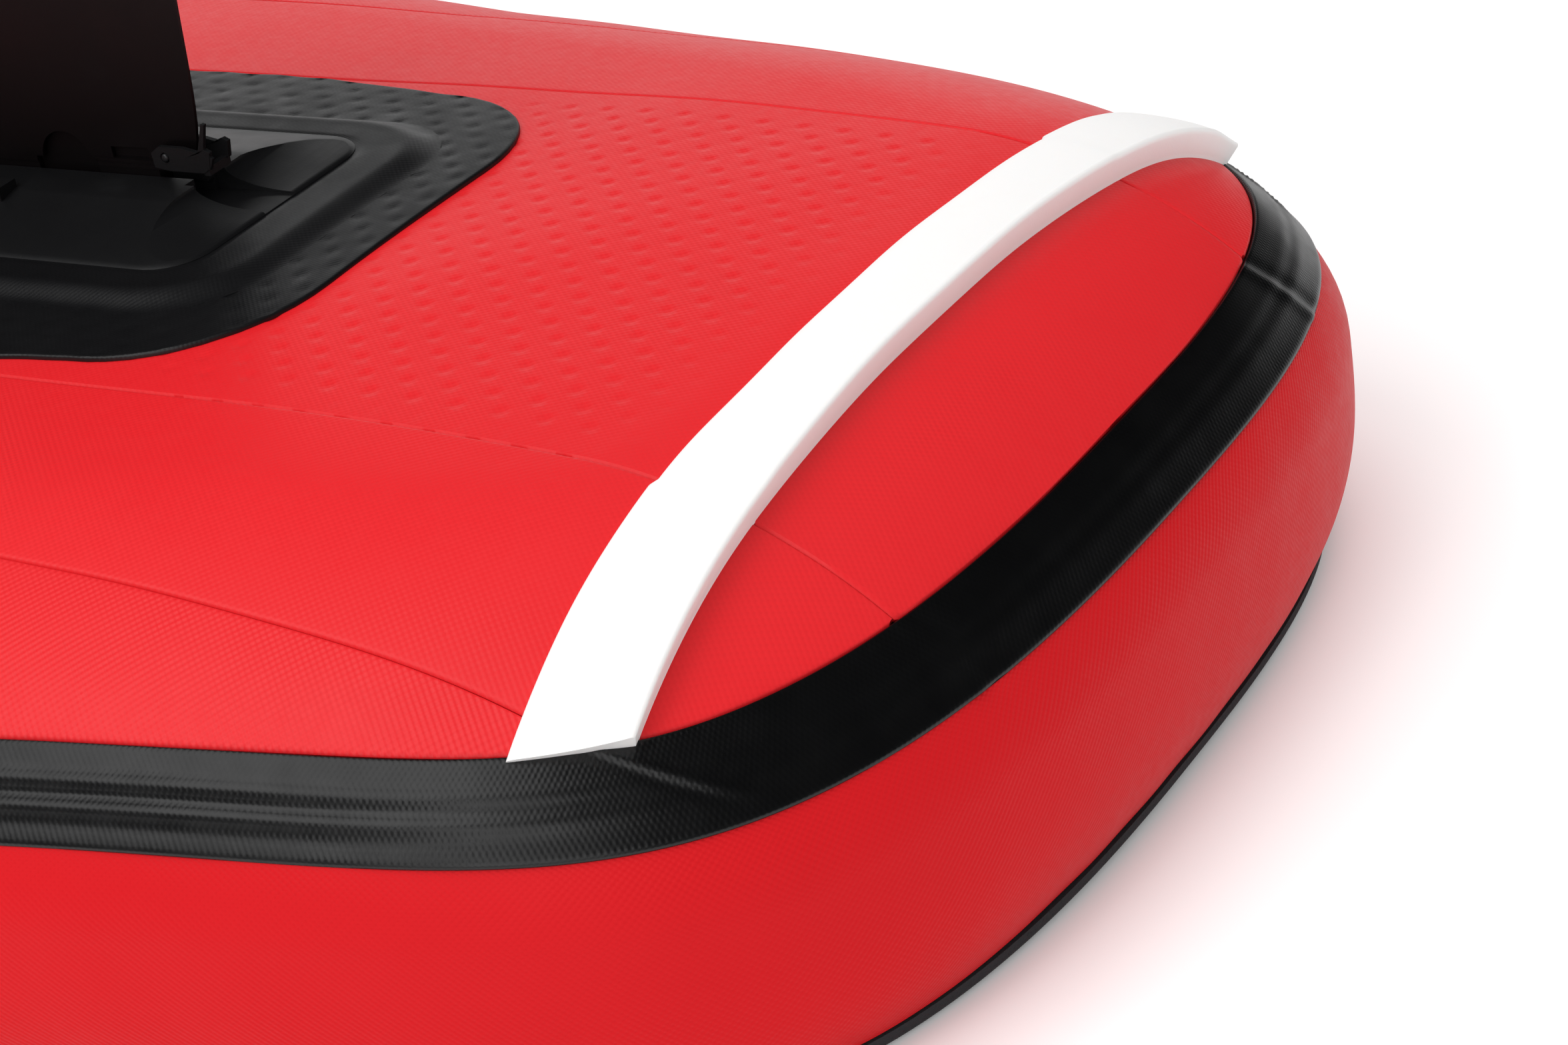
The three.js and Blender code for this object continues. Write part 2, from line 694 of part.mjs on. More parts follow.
function lockClip() {
  const cheek = (side) => block([-384, side * 5.2 - 0.9, 91], [-357, side * 5.2 + 0.9, 101]);
  const prong = (side) => block([-362.5, side * 5.2 - 0.9, 100.5], [-357, side * 5.2 + 0.9, 109.5]);
  const bridge = block([-362.5, -6.1, 81], [-357, 6.1, 92]);
  const body = join(cheek(-1), cheek(1), bridge, prong(-1), prong(1));
  return cut(body, acrossCylinder(1.9, 20, PIN_POINT[0], PIN_POINT[1]));
}
add(board, 'fin_lock_clip', lockClip(), blackPlastic);
add(board, 'fin_clip_pin', acrossCylinder(1.5, 13.4, PIN_POINT[0], PIN_POINT[1]), steel);

// ---- Valve, upright in the floor's frame --------------------------------
const fittings = new THREE.Group();
object.add(fittings);
function rowPoint(x, y, z) {
  return [tiltedX(x, z) + board.position.x, y, tiltedZ(x, z) + board.position.z];
}

// The valve's parts are turned about Z with height 0 at the deck skin and +Z outward.
function valve() {
  const group = new THREE.Group();
  group.position.set(...rowPoint(valveX, 0, valveSkinZ));
  group.rotation.x = Math.PI;
  fittings.add(group);
  const wall = [[21, 9], [28.5, 9], [28.5, 6], [24.3, 6], [24.3, -36], [3.5, -36], [3.5, -33], [21, -33]];
  const vents = [0, 1, 2, 3].map((k) => {
    const hole = new THREE.CylinderGeometry(4, 4, 20, 10);
    hole.rotateX(Math.PI / 2);
    hole.translate(13 * Math.cos(k * Math.PI / 2), 13 * Math.sin(k * Math.PI / 2), -34);
    return hole;
  });
  add(group, 'valve_housing', cut(turned(wall), ...vents), blackPlastic);
  add(group, 'valve_clamp_nut', turned([[24.7, -10], [31.5, -10], [31.5, -20], [24.7, -20]]), blackPlastic);
  const seal = [[18.6, -36.4], [18.6, -38.6], [3.6, -38.6], [3.6, -36.4]];
  add(group, 'valve_seal', turned(seal), rubber);
  const stem = [[0, -4], [6.5, -4], [6.5, -6.5], [3, -6.5], [3, -39], [18, -39], [18, -41], [0, -41]];
  add(group, 'valve_stem', turned(stem, 20), blackPlastic);
  add(group, 'valve_spring', springCoil(), steel);
  const cap = [[0, 15], [24, 15], [27, 13], [27, 9.4], [0, 9.4]];
  add(group, 'valve_cap', join(turned(cap), block([-33, -5, 9.6], [-25, 5, 12])), blackPlastic);
  const collar = turned([[28.9, 6.2], [31, 6.2], [31, 8.6], [28.9, 8.6]]);
  add(group, 'valve_cap_strap', join(collar, block([-37, -5, 6.4], [-30, 5, 8.4])), rubber);
}

function springCoil() {
  const turns = 4;
  const steps = turns * 9;
  const path = [];
  for (let k = 0; k <= steps; k += 1) {
    const angle = k / 9 * Math.PI * 2;
    const height = -31.6 + 23.4 * k / steps;
    path.push(new THREE.Vector3(5 * Math.cos(angle), 5 * Math.sin(angle), height));
  }
  const wire = new THREE.Shape();
  wire.absarc(0, 0, 0.7, 0, Math.PI * 2);
  const extrudePath = new THREE.CatmullRomCurve3(path);
  return new THREE.ExtrudeGeometry(wire, { steps, extrudePath, curveSegments: 3, bevelEnabled: false });
}
valve();
const valvePatch = skinPatch(VALVE_U, 0, 54, deckPoint);
add(board, 'valve_patch', cut(valvePatch, valveHole(29.5, 40)), blackFabric);

// A round patch that follows the skin, made of rows across a circle.
function skinPatch(u, y, radius, point, gap = DECK_PATCH_GAP) {
  const make = (grow) => {
    const rows = [];
    for (let k = 1; k < 10; k += 1) {
      const angle = Math.PI * k / 10;
      const half = radius * Math.sin(angle);
      rows.push([-1, 0, 1].map((c) => point(-u + radius * Math.cos(angle), y + c * half, grow)));
    }
    return rows;
  };
  return sheet(make(gap), make(gap + SKIN));
}

// ---- D rings with webbing and patches -----------------------------------
const RING_DROP = 10.3;           // from the deck skin to a hanging ring's bar
const RING_RISE = 7.6;            // from the bottom skin to the towing ring's bar
const RING_HALF = 17;
const RING_WIRE = 4;
const RING_STRAIGHT = 6;

function dOutline(target, half, top, clockwise) {
  target.moveTo(-half, top);
  target.lineTo(-half, -RING_STRAIGHT);
  target.absarc(0, -RING_STRAIGHT, half, Math.PI, Math.PI * 2, clockwise);
  target.lineTo(half, top);
  target.closePath();
  return target;
}

// The ring's own frame: bar along Y at the origin, ring hanging down in the YZ plane.
function dRing() {
  const shape = dOutline(new THREE.Shape(), RING_HALF, RING_WIRE / 2, false);
  shape.holes.push(dOutline(new THREE.Path(), RING_HALF - RING_WIRE, -RING_WIRE / 2, false));
  const options = { depth: RING_WIRE, bevelEnabled: false, curveSegments: 7 };
  const geometry = new THREE.ExtrudeGeometry(shape, options);
  geometry.translate(0, 0, -RING_WIRE / 2);
  geometry.rotateX(Math.PI / 2);
  geometry.rotateZ(Math.PI / 2);
  return geometry;
}

function webbingLoop() {
  const shape = new THREE.Shape();
  shape.moveTo(-18, 4.2);
  shape.lineTo(-18, 2.8);
  shape.lineTo(-4, 2.8);
  shape.absarc(0, 0, 4.6, Math.PI * 0.8, Math.PI * 2.2, false);
  shape.lineTo(18, 2.8);
  shape.lineTo(18, 4.2);
  shape.closePath();
  const hole = new THREE.Path();
  hole.absarc(0, 0, 3.3, 0, Math.PI * 2, true);
  shape.holes.push(hole);
  return extrudeAcross(shape, 24);
}

// Under the deck each ring hangs straight down from its webbing.
function hangingRing(name, u, y) {
  add(board, `${name}_patch`, skinPatch(u, y, 30, deckPoint), blackFabric);
  const hung = new THREE.Group();
  const [x, rowY, z] = rowPoint(-u, y, deckZ(-u, y));
  hung.position.set(x, rowY, z - RING_DROP);
  fittings.add(hung);
  add(hung, `${name}_webbing`, webbingLoop(), webbingCloth);
  add(hung, `${name}_ring`, dRing(), steel);
}

// On the nose the towing ring lies down on the skin and points forward.
function towRing(u) {
  add(board, 'tow_patch', skinPatch(u, 0, 30, topPoint, GAP), blackFabric);
  const lying = new THREE.Group();
  const slope = (topZ(-u + 1, 0) - topZ(-u - 1, 0)) / 2;
  lying.position.set(-u, 0, topZ(-u, 0) + RING_RISE);
  lying.rotation.y = -Math.atan(slope);
  board.add(lying);
  const webbing = add(lying, 'tow_webbing', webbingLoop(), webbingCloth);
  webbing.rotation.x = Math.PI;
  const ring = add(lying, 'tow_ring', dRing(), steel);
  ring.rotation.y = Math.PI / 2;
}

hangingRing('leash', LEASH_U, 0);
for (const [row, u] of [['rear', 2300], ['front', 2650]]) {
  hangingRing(`cargo_${row}_left`, u, -175);
  hangingRing(`cargo_${row}_right`, u, 175);
}
towRing(2960);

// ---- Carry handle under the middle of the deck --------------------------
const STRAP_THICKNESS = 2.6;
const STRAP_WIDTH = 38;
const HANDLE_DROP = 42;

function handlePatch(center) {
  const make = (grow) => [-36, -12, 12, 36].map((dx) => (
    [-28, 0, 28].map((y) => deckPoint(-center + dx, y, grow))
  ));
  return sheet(make(DECK_PATCH_GAP), make(DECK_PATCH_GAP + SKIN));
}

// The strap's path under the deck is a flat-bottomed arch: distance along and drop.
function handleStrap() {
  const top = DECK_PATCH_GAP + SKIN + 1;
  const path = [[-163, top], [-112, top], [-76, HANDLE_DROP], [76, HANDLE_DROP], [112, top], [163, top]];
  const shape = new THREE.Shape();
  const outer = path.map(([x, drop]) => [x, deckZ(-HANDLE_U, 0) - drop - STRAP_THICKNESS]);
  const inner = path.map(([x, drop]) => [x, deckZ(-HANDLE_U, 0) - drop]).reverse();
  shape.setFromPoints([...inner, ...outer].map(([x, z]) => new THREE.Vector2(x - HANDLE_U, z)));
  return extrudeAcross(shape, STRAP_WIDTH);
}

function handleGrip() {
  const half = 62;
  const shape = new THREE.Shape();
  shape.absellipse(0, 0, 27, 13, 0, Math.PI * 2, false, 0);
  const slot = new THREE.Path();
  const [w, h] = [STRAP_WIDTH / 2 + 0.4, STRAP_THICKNESS / 2 + 0.4];
  slot.setFromPoints([[-w, -h], [-w, h], [w, h], [w, -h]].map(([x, y]) => new THREE.Vector2(x, y)));
  shape.holes.push(slot);
  const options = { depth: 2 * half, bevelEnabled: false, curveSegments: 8 };
  const geometry = new THREE.ExtrudeGeometry(shape, options);
  geometry.translate(0, 0, -half);
  geometry.rotateX(Math.PI / 2);
  geometry.rotateZ(Math.PI / 2);
  geometry.translate(-HANDLE_U, 0, deckZ(-HANDLE_U, 0) - HANDLE_DROP - STRAP_THICKNESS / 2);
  return geometry;
}
add(board, 'handle_patch_rear', handlePatch(HANDLE_U - HANDLE_HALF - 6), blackFabric);
add(board, 'handle_patch_front', handlePatch(HANDLE_U + HANDLE_HALF + 6), blackFabric);
add(board, 'handle_strap', handleStrap(), webbingCloth);
add(board, 'handle_grip', handleGrip(), foam);

export default object;
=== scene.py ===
"""Looks of an inflatable paddle board that lies bottom up, built around its CAD frame.

Everything is in metres. Most shapes are worked out in the board's own frame: x is 0 at the
tail end and negative towards the nose, y runs across (left is negative), and z is 0 at the
board's widest line, with the bottom skin above it and the deck below it.
"""
import math

import bmesh
import bpy
import numpy as np
from mathutils import Matrix, Vector


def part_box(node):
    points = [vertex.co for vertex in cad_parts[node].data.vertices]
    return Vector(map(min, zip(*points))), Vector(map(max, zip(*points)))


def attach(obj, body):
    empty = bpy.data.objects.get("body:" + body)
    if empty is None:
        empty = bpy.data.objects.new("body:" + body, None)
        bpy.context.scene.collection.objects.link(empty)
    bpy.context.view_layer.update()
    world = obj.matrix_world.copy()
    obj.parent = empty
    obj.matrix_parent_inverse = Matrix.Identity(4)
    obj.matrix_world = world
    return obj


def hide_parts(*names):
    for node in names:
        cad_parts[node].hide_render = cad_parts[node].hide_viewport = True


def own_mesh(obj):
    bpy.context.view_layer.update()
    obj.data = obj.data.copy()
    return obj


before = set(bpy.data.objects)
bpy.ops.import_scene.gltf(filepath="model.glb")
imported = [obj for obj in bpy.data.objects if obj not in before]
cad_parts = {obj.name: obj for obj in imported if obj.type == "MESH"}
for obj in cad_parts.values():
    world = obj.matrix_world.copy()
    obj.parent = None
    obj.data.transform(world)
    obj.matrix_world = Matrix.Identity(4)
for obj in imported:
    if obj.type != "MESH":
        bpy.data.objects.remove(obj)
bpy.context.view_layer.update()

# ---- Board dimensions ---------------------------------------------------
BOARD_LENGTH = 3.2
MID_HALF_WIDTH = 0.4
TAIL_HALF_WIDTH = 0.24
TAIL_TAPER = (0.5766, 0.2988)
TAIL_REACH = 0.725
TAIL_SQUARENESS = 14.23
TAIL_ROUNDNESS = 2.4545
TAPER_END = 0.45
WIDE_POINT = 1.5
NOSE_POWERS = (2.5, 1.8)

UPPER_HEIGHT = 0.075
LOWER_HEIGHT = 0.0678
RAIL_INSET = 0.1208
RAIL_POWER = 1.804
WALL_TUCK = 0.0161
WALL_POWER = 2.854
WALL_END = 0.985

TAIL_KICK_START = 0.2675
TAIL_KICK_SPAN = 0.2
TAIL_KICK = (0.01529, -0.003073)
NOSE_ROCKER_START = 1.7
NOSE_ROCKER = 0.15
NOSE_ROCKER_POWER = 2.2
EDGE_DROP = 0.0219
BOW_HALF_WIDTH = 0.308
TILT = math.radians(2.16)

SKIN = 0.0012
GAP = 0.0003
TAPE_INSETS = (0.028, 0.0082)
TAPE_LAP = 0.0092
LAYER_INSET = 0.0286
SEAMS = (0.1215, 0.205)
PAD_THICKNESS = 0.0052
PAD_INSET = 0.0150
PAD_FRONT = 2.15

# ---- Board frame to the shared frame ------------------------------------
CLIP_PIN_ON_BOARD = (-0.378, 0.096)
COS_TILT = math.cos(TILT)
SIN_TILT = math.sin(TILT)
clip_low, clip_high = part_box("fin_clip_pin")
clip_pin = (clip_low + clip_high) / 2
SHIFT_X = clip_pin.x - CLIP_PIN_ON_BOARD[0] * COS_TILT - CLIP_PIN_ON_BOARD[1] * SIN_TILT
SHIFT_Z = clip_pin.z - CLIP_PIN_ON_BOARD[1] * COS_TILT + CLIP_PIN_ON_BOARD[0] * SIN_TILT


def turn_to_row(vectors):
    """Board-frame directions turned into the shared frame."""
    v = np.asarray(vectors, float)
    x = v[..., 0] * COS_TILT + v[..., 2] * SIN_TILT
    z = v[..., 2] * COS_TILT - v[..., 0] * SIN_TILT
    return np.stack([x, v[..., 1], z], axis=-1)


def to_row(points):
    """Board-frame points in the shared frame."""
    return turn_to_row(points) + np.array([SHIFT_X, 0.0, SHIFT_Z])


# ---- Plan outline -------------------------------------------------------
def tail_width(u):
    widening = 1 + TAIL_TAPER[0] * u + TAIL_TAPER[1] * u**2
    along = np.clip((TAIL_REACH - u) / TAIL_REACH, 0, 1)
    return TAIL_HALF_WIDTH * widening * (1 - along**TAIL_SQUARENESS) ** (1 / TAIL_ROUNDNESS)


def half_width(u):
    """Half width of the board at the distance u from its tail end."""
    span = WIDE_POINT - TAPER_END
    t = np.clip((u - TAPER_END) / span, 0, 1)
    start = tail_width(TAPER_END)
    slope = (start - tail_width(TAPER_END - 0.001)) / 0.001 * span
    middle = start + (MID_HALF_WIDTH - start) * t * t * (3 - 2 * t) + slope * t * (1 - t) ** 2
    n = np.clip((u - WIDE_POINT) / (BOARD_LENGTH - WIDE_POINT), 0, 1)
    nose = MID_HALF_WIDTH * (1 - n ** NOSE_POWERS[0]) ** (1 / NOSE_POWERS[1])
    return np.where(u <= TAPER_END, tail_width(u), np.where(u <= WIDE_POINT, middle, nose))


def outline_normals(u):
    """Outward plan normals of the left or right outline, with y counted outwards."""
    step = 2e-5
    inside = np.clip(u, 2 * step, BOARD_LENGTH - 2 * step)
    slope = (half_width(inside + step) - half_width(inside - step)) / (2 * step)
    widening = 1 + TAIL_TAPER[0] * u + TAIL_TAPER[1] * u**2
    growth = TAIL_TAPER[0] + 2 * TAIL_TAPER[1] * u
    along = np.clip((TAIL_REACH - u) / TAIL_REACH, 0, 1)
    share = 1 - along**TAIL_SQUARENESS
    tail_x = TAIL_ROUNDNESS * share * growth / widening
    tail_x += TAIL_SQUARENESS * along ** (TAIL_SQUARENESS - 1) / TAIL_REACH
    tail_y = TAIL_ROUNDNESS * share ** ((TAIL_ROUNDNESS - 1) / TAIL_ROUNDNESS)
    tail_y /= TAIL_HALF_WIDTH * widening
    nx = np.where(u < TAPER_END, tail_x, slope)
    ny = np.where(u < TAPER_END, tail_y, 1.0)
    nx = np.where(u >= BOARD_LENGTH - 1e-9, -1.0, nx)
    ny = np.where(u >= BOARD_LENGTH - 1e-9, 0.0, ny)
    length = np.hypot(nx, ny)
    return nx / length, ny / length


def side_outline(steps):
    """Points down one side from the tail to the nose. steps are (arc length reached, spacing)."""
    corner = np.linspace(0, math.radians(80), 3000)
    tail = TAIL_REACH * (1 - np.cos(corner) ** (2 / TAIL_SQUARENESS))
    nose_start = 2.7
    reach = BOARD_LENGTH - WIDE_POINT
    first = math.asin(((nose_start - WIDE_POINT) / reach) ** (NOSE_POWERS[0] / 2))
    round_nose = WIDE_POINT + reach * np.sin(np.linspace(first, math.pi / 2, 2000)) ** (2 / NOSE_POWERS[0])
    dense = np.concatenate([tail, np.linspace(tail[-1], nose_start, 3000)[1:], round_nose[1:]])
    width = half_width(dense)
    width[-1] = 0.0
    arc = np.concatenate([[0.0], np.cumsum(np.hypot(np.diff(dense), np.diff(width)))])
    wanted = [0.0]
    for reached, spacing in steps:
        end = min(reached, arc[-1])
        count = max(1, round((end - wanted[-1]) / spacing))
        wanted.extend(np.linspace(wanted[-1], end, count + 1)[1:])
    u = np.interp(wanted, arc, dense)
    u[-1] = BOARD_LENGTH
    y = half_width(u)
    y[-1] = 0.0
    nx, ny = outline_normals(u)
    return {"x": -u, "y": y, "nx": nx, "ny": ny, "arc": np.array(wanted)}


def whole_outline(steps):
    """The closed outline: down the left side to the nose and back up the right side."""
    side = side_outline(steps)
    back = slice(-2, 0, -1)
    return {
        "x": np.concatenate([side["x"], side["x"][back]]),
        "y": np.concatenate([-side["y"], side["y"][back]]),
        "nx": np.concatenate([side["nx"], side["nx"][back]]),
        "ny": np.concatenate([-side["ny"], side["ny"][back]]),
        "arc": np.concatenate([-side["arc"], side["arc"][back]]),
    }


MEASURE = side_outline([(1.2, 0.0015), (9, 0.004)])
OUTLINE_STEPS = [(1.0, 0.0025), (9, 0.008)]


def edge_distance(x, y):
    """Distance in plan from points to the outline, and the inward direction there."""
    x = np.atleast_1d(np.asarray(x, float))
    y = np.asarray(y, float)
    side = np.where(y < 0, -1.0, 1.0)
    near = np.abs(MEASURE["x"] - (x.min() + x.max()) / 2) < (x.max() - x.min()) / 2 + RAIL_INSET + 0.01
    first = max(0, int(np.argmax(near)) - 1)
    last = len(near) - int(np.argmax(near[::-1]))
    ax, ay = MEASURE["x"][first:last], MEASURE["y"][first:last]
    dx, dy = np.diff(ax), np.diff(ay)
    px = (x + 0 * y)[:, None] - ax[:-1]
    py = np.abs(y)[:, None] - ay[:-1]
    t = np.clip((px * dx + py * dy) / (dx * dx + dy * dy), 0, 1)
    px -= t * dx
    py -= t * dy
    square = px * px + py * py
    best = np.argmin(square, axis=1)
    pick = np.arange(len(y))
    distance = np.sqrt(square[pick, best])
    safe = np.maximum(distance, 1e-9)
    return distance, px[pick, best] / safe, py[pick, best] / safe * side


# ---- Surfaces of the inflated board -------------------------------------
def bend(x, y):
    kick = np.maximum(0, TAIL_KICK_START + x) / TAIL_KICK_SPAN
    nose = np.maximum(0, -x - NOSE_ROCKER_START) / (BOARD_LENGTH - NOSE_ROCKER_START)
    bow = EDGE_DROP * (y / np.maximum(BOW_HALF_WIDTH, half_width(-x))) ** 2
    return TAIL_KICK[0] * kick**2 + TAIL_KICK[1] * kick**3 + NOSE_ROCKER * nose**NOSE_ROCKER_POWER + bow


def crown(inset):
    """Height of the bottom skin over the widest line, and its slope, at an inset from the outline."""
    s = np.clip(1 - inset / RAIL_INSET, 0, 1)
    left = np.maximum(1 - s**RAIL_POWER, 1e-9)
    slope = UPPER_HEIGHT / RAIL_INSET * s ** (RAIL_POWER - 1) * left ** (1 / RAIL_POWER - 1)
    return UPPER_HEIGHT * (1 - s**RAIL_POWER) ** (1 / RAIL_POWER), slope


def bottom_points(x, y, grow=0.0):
    """Points of the bottom skin at plan places (x, y), moved out along the surface normal."""
    y = np.atleast_1d(np.asarray(y, float))
    inset, gx, gy = edge_distance(x, y)
    height, slope = crown(inset)
    step = 1e-4
    bend_x = (bend(x + step, y) - bend(x - step, y)) / (2 * step)
    bend_y = (bend(x, y + step) - bend(x, y - step)) / (2 * step)
    sx = slope * gx - bend_x
    sy = slope * gy - bend_y
    length = np.sqrt(sx**2 + sy**2 + 1)
    out_x = x - grow * sx / length
    out_y = y - grow * sy / length
    return np.stack([out_x, out_y, height - bend(x, y) + grow / length], axis=-1)


def deck_points(x, y, drop=0.0):
    z = -LOWER_HEIGHT - bend(x, y) - drop
    return np.stack([x + 0 * z, y + 0 * z, z], axis=-1)


def upper_rail(loop, inset, grow):
    """Rail points above the widest line, at plan insets. Shapes: loops by insets."""
    p = {k: loop[k][:, None] for k in ("x", "y", "nx", "ny")}
    height, slope = crown(inset)
    slope = np.where(inset < 1e-5, 1e6, slope)
    length = np.hypot(slope, 1)
    out = grow * slope / length - inset
    z = height - bend(p["x"] - p["nx"] * inset, p["y"] - p["ny"] * inset) + grow / length
    return np.stack([p["x"] + p["nx"] * out, p["y"] + p["ny"] * out, z], axis=-1)


def lower_rail(loop, fraction, grow):
    """Wall points below the widest line, from fraction 0 there to 1 at the deck."""
    p = {k: loop[k][:, None] for k in ("x", "y", "nx", "ny")}
    tuck = WALL_TUCK * fraction**WALL_POWER
    slope = WALL_TUCK * WALL_POWER * fraction ** (WALL_POWER - 1) / LOWER_HEIGHT
    length = np.hypot(1, slope)
    out = grow / length - tuck
    z = -LOWER_HEIGHT * fraction - grow * slope / length
    z = z - bend(p["x"] - p["nx"] * tuck, p["y"] - p["ny"] * tuck)
    return np.stack([p["x"] + p["nx"] * out, p["y"] + p["ny"] * out, z], axis=-1)


def smooth(low, high, value):
    t = np.clip((value - low) / (high - low), 0, 1)
    return t * t * (3 - 2 * t)


def bump(value, center, width):
    """A smooth hump of height 1."""
    return np.exp(-(((value - center) / width) ** 2))


def ripple(a, b, wavelength, seed):
    """Gentle irregular waves of about plus or minus 1 over two surface coordinates."""
    random = np.random.default_rng(seed)
    total = 0.0
    waves = 7
    for _ in range(waves):
        angle = random.uniform(0, math.tau)
        phase = random.uniform(0, math.tau)
        length = wavelength * random.uniform(0.7, 1.7)
        total = total + np.sin(math.tau * (a * math.cos(angle) + b * math.sin(angle)) / length + phase)
    return total / waves**0.5


# The drop threads pull shallow pits into the skin, on a centred lattice.
PIT_SPACING = (0.016, 0.0177)
PIT_DEPTH = 0.00042


def pits(x, y):
    wave = np.cos(math.tau * x / PIT_SPACING[0]) * np.cos(math.tau * y / PIT_SPACING[1])
    return smooth(0.35, 1.0, wave)


# ---- Mesh helpers -------------------------------------------------------
def volume_of(points, faces):
    total = 0.0
    corners = points[faces]
    for k in range(1, faces.shape[1] - 1):
        a, b, c = corners[:, 0], corners[:, k], corners[:, k + 1]
        total += np.einsum("ij,ij->i", a, np.cross(b, c)).sum()
    return total


class Shell:
    """Vertices, faces and texture places (in metres) that make one mesh."""

    def __init__(self):
        self.points = []
        self.places = []
        self.faces = []
        self.looks = []
        self.count = 0

    def add(self, points, faces, places=None, look=0):
        points = np.asarray(points, float).reshape(-1, 3)
        faces = np.asarray(faces, int)
        center = points[faces.ravel()].mean(axis=0)
        if volume_of(points - center, faces) < 0:
            faces = faces[:, ::-1]
        self.points.append(points)
        places = points[:, :2] if places is None else np.asarray(places, float).reshape(-1, 2)
        self.places.append(places)
        self.faces.extend((faces + self.count).tolist())
        self.looks.extend([look] * len(faces))
        self.count += len(points)
        return self

    def mesh(self, name, sharp=40, weld=None):
        data = bpy.data.meshes.new(name)
        data.from_pydata(np.concatenate(self.points).tolist(), [], self.faces)
        layer = data.uv_layers.new(name="metres")
        corners = np.zeros(len(data.loops), int)
        data.loops.foreach_get("vertex_index", corners)
        layer.data.foreach_set("uv", np.concatenate(self.places)[corners].astype(np.float32).ravel())
        data.polygons.foreach_set("material_index", self.looks)
        if weld:
            work = bmesh.new()
            work.from_mesh(data)
            bmesh.ops.remove_doubles(work, verts=work.verts, dist=weld)
            bmesh.ops.dissolve_degenerate(work, dist=weld / 4, edges=work.edges)
            work.to_mesh(data)
            work.free()
        data.polygons.foreach_set("use_smooth", [True] * len(data.polygons))
        data.set_sharp_from_angle(angle=math.radians(sharp))
        data.update()
        return data


def circle(count):
    """Evenly spaced angles round a full turn."""
    return math.tau * np.arange(count) / count


def round_ring(angles, radius, height, x=0.0, y=0.0):
    """Points round the Z axis, or round (x, y). The radius may vary with the angle."""
    return np.stack([x + radius * np.cos(angles), y + radius * np.sin(angles), 0 * angles + height], axis=-1)


def arc_lengths(points):
    """Distance along a line of points, from 0 at the first."""
    return np.concatenate([[0], np.cumsum(np.linalg.norm(np.diff(points, axis=0), axis=1))])


def along_line(points, wanted):
    """Points of a line at the wanted distances along it."""
    arc = arc_lengths(points)
    return np.stack([np.interp(wanted, arc, column) for column in points.T], axis=-1)


def grid_quads(rows, columns, wrap=False):
    i = np.arange(rows if wrap else rows - 1)[:, None]
    j = np.arange(columns - 1)[None, :]
    a = i * columns + j
    b = (i + 1) % rows * columns + j
    return np.stack([a, a + 1, b + 1, b], axis=-1).reshape(-1, 4)


def closed_sheet(shell, outer, inner, places=None, keep=None, wrap=False):
    """Adds a solid between two grids of points. keep says which cells exist, as rows by columns."""
    rows, columns = outer.shape[:2]
    spans = rows if wrap else rows - 1
    if keep is None:
        keep = np.ones((spans, columns - 1), bool)
    size = rows * columns
    quads = grid_quads(rows, columns, wrap)[keep.ravel()]
    sides = []
    padded = np.zeros((spans, columns + 1), bool)
    padded[:, 1:-1] = keep
    row, column = np.nonzero(padded[:, 1:] != padded[:, :-1])
    a = row * columns + column
    b = (row + 1) % rows * columns + column
    flip = keep[row, np.minimum(column, columns - 2)] & (column < columns - 1)
    side = np.stack([a, b, b + size, a + size], axis=-1)
    side[~flip] = side[~flip][:, ::-1]
    sides.append(side)
    if wrap:
        before = np.roll(keep, 1, axis=0)
        row, column = np.nonzero(keep != before)
        here = keep[row, column]
    else:
        padded = np.zeros((rows + 1, columns - 1), bool)
        padded[1:-1] = keep
        row, column = np.nonzero(padded[1:] != padded[:-1])
        here = np.zeros(len(row), bool)
        inside = row < spans
        here[inside] = keep[row[inside], column[inside]]
    a = row * columns + column
    side = np.stack([a + 1, a, a + size, a + 1 + size], axis=-1)
    side[~here] = side[~here][:, ::-1]
    sides.append(side)
    faces = np.concatenate([quads, quads[:, ::-1] + size, *sides])
    used, faces = np.unique(faces, return_inverse=True)
    faces = faces.reshape(-1, 4)
    points = np.concatenate([outer.reshape(-1, 3), inner.reshape(-1, 3)])[used]
    if places is None:
        places = outer[..., :2]
    places = np.concatenate([places.reshape(-1, 2)] * 2)[used]
    return shell.add(points, faces, places)


def loft(shell, rings, places=None, look=0, closed=False):
    """Adds a skin through rings of equal size; end rings that fall on a line close the solid."""
    grid = np.stack(rings)
    rows, columns = grid.shape[:2]
    i = np.arange(rows if closed else rows - 1)[:, None]
    j = np.arange(columns)[None, :]
    a = i * columns + j
    b = i * columns + (j + 1) % columns
    c = (i + 1) % rows * columns + (j + 1) % columns
    d = (i + 1) % rows * columns + j
    quads = np.stack([a, b, c, d], axis=-1).reshape(-1, 4)
    return shell.add(grid, quads, places, look)


def lathe(profile, segments=96, closed=True):
    """A turned solid about Z from (radius, height) pairs."""
    angles = circle(segments)
    pairs = np.asarray(profile, float)
    rings = [round_ring(angles, radius, height) for radius, height in pairs]
    places = []
    for (radius, _), along in zip(pairs, arc_lengths(pairs)):
        places.append(np.stack([angles * max(radius, 0.001), 0 * angles + along], axis=-1))
    return loft(Shell(), rings, np.stack(places), closed=closed)


def prism(near, far):
    """A solid between two equal closed outlines."""
    caps = [np.tile(end.mean(axis=0), (len(end), 1)) for end in (near, far)]
    return loft(Shell(), [caps[0], near, far, caps[1]])


def plate(outline, low, high):
    """A flat plate: an outline in x and z, from y = low to y = high."""
    x, z = np.array(outline).T
    return prism(*(np.column_stack([x, np.full(len(x), y), z]) for y in (low, high)))


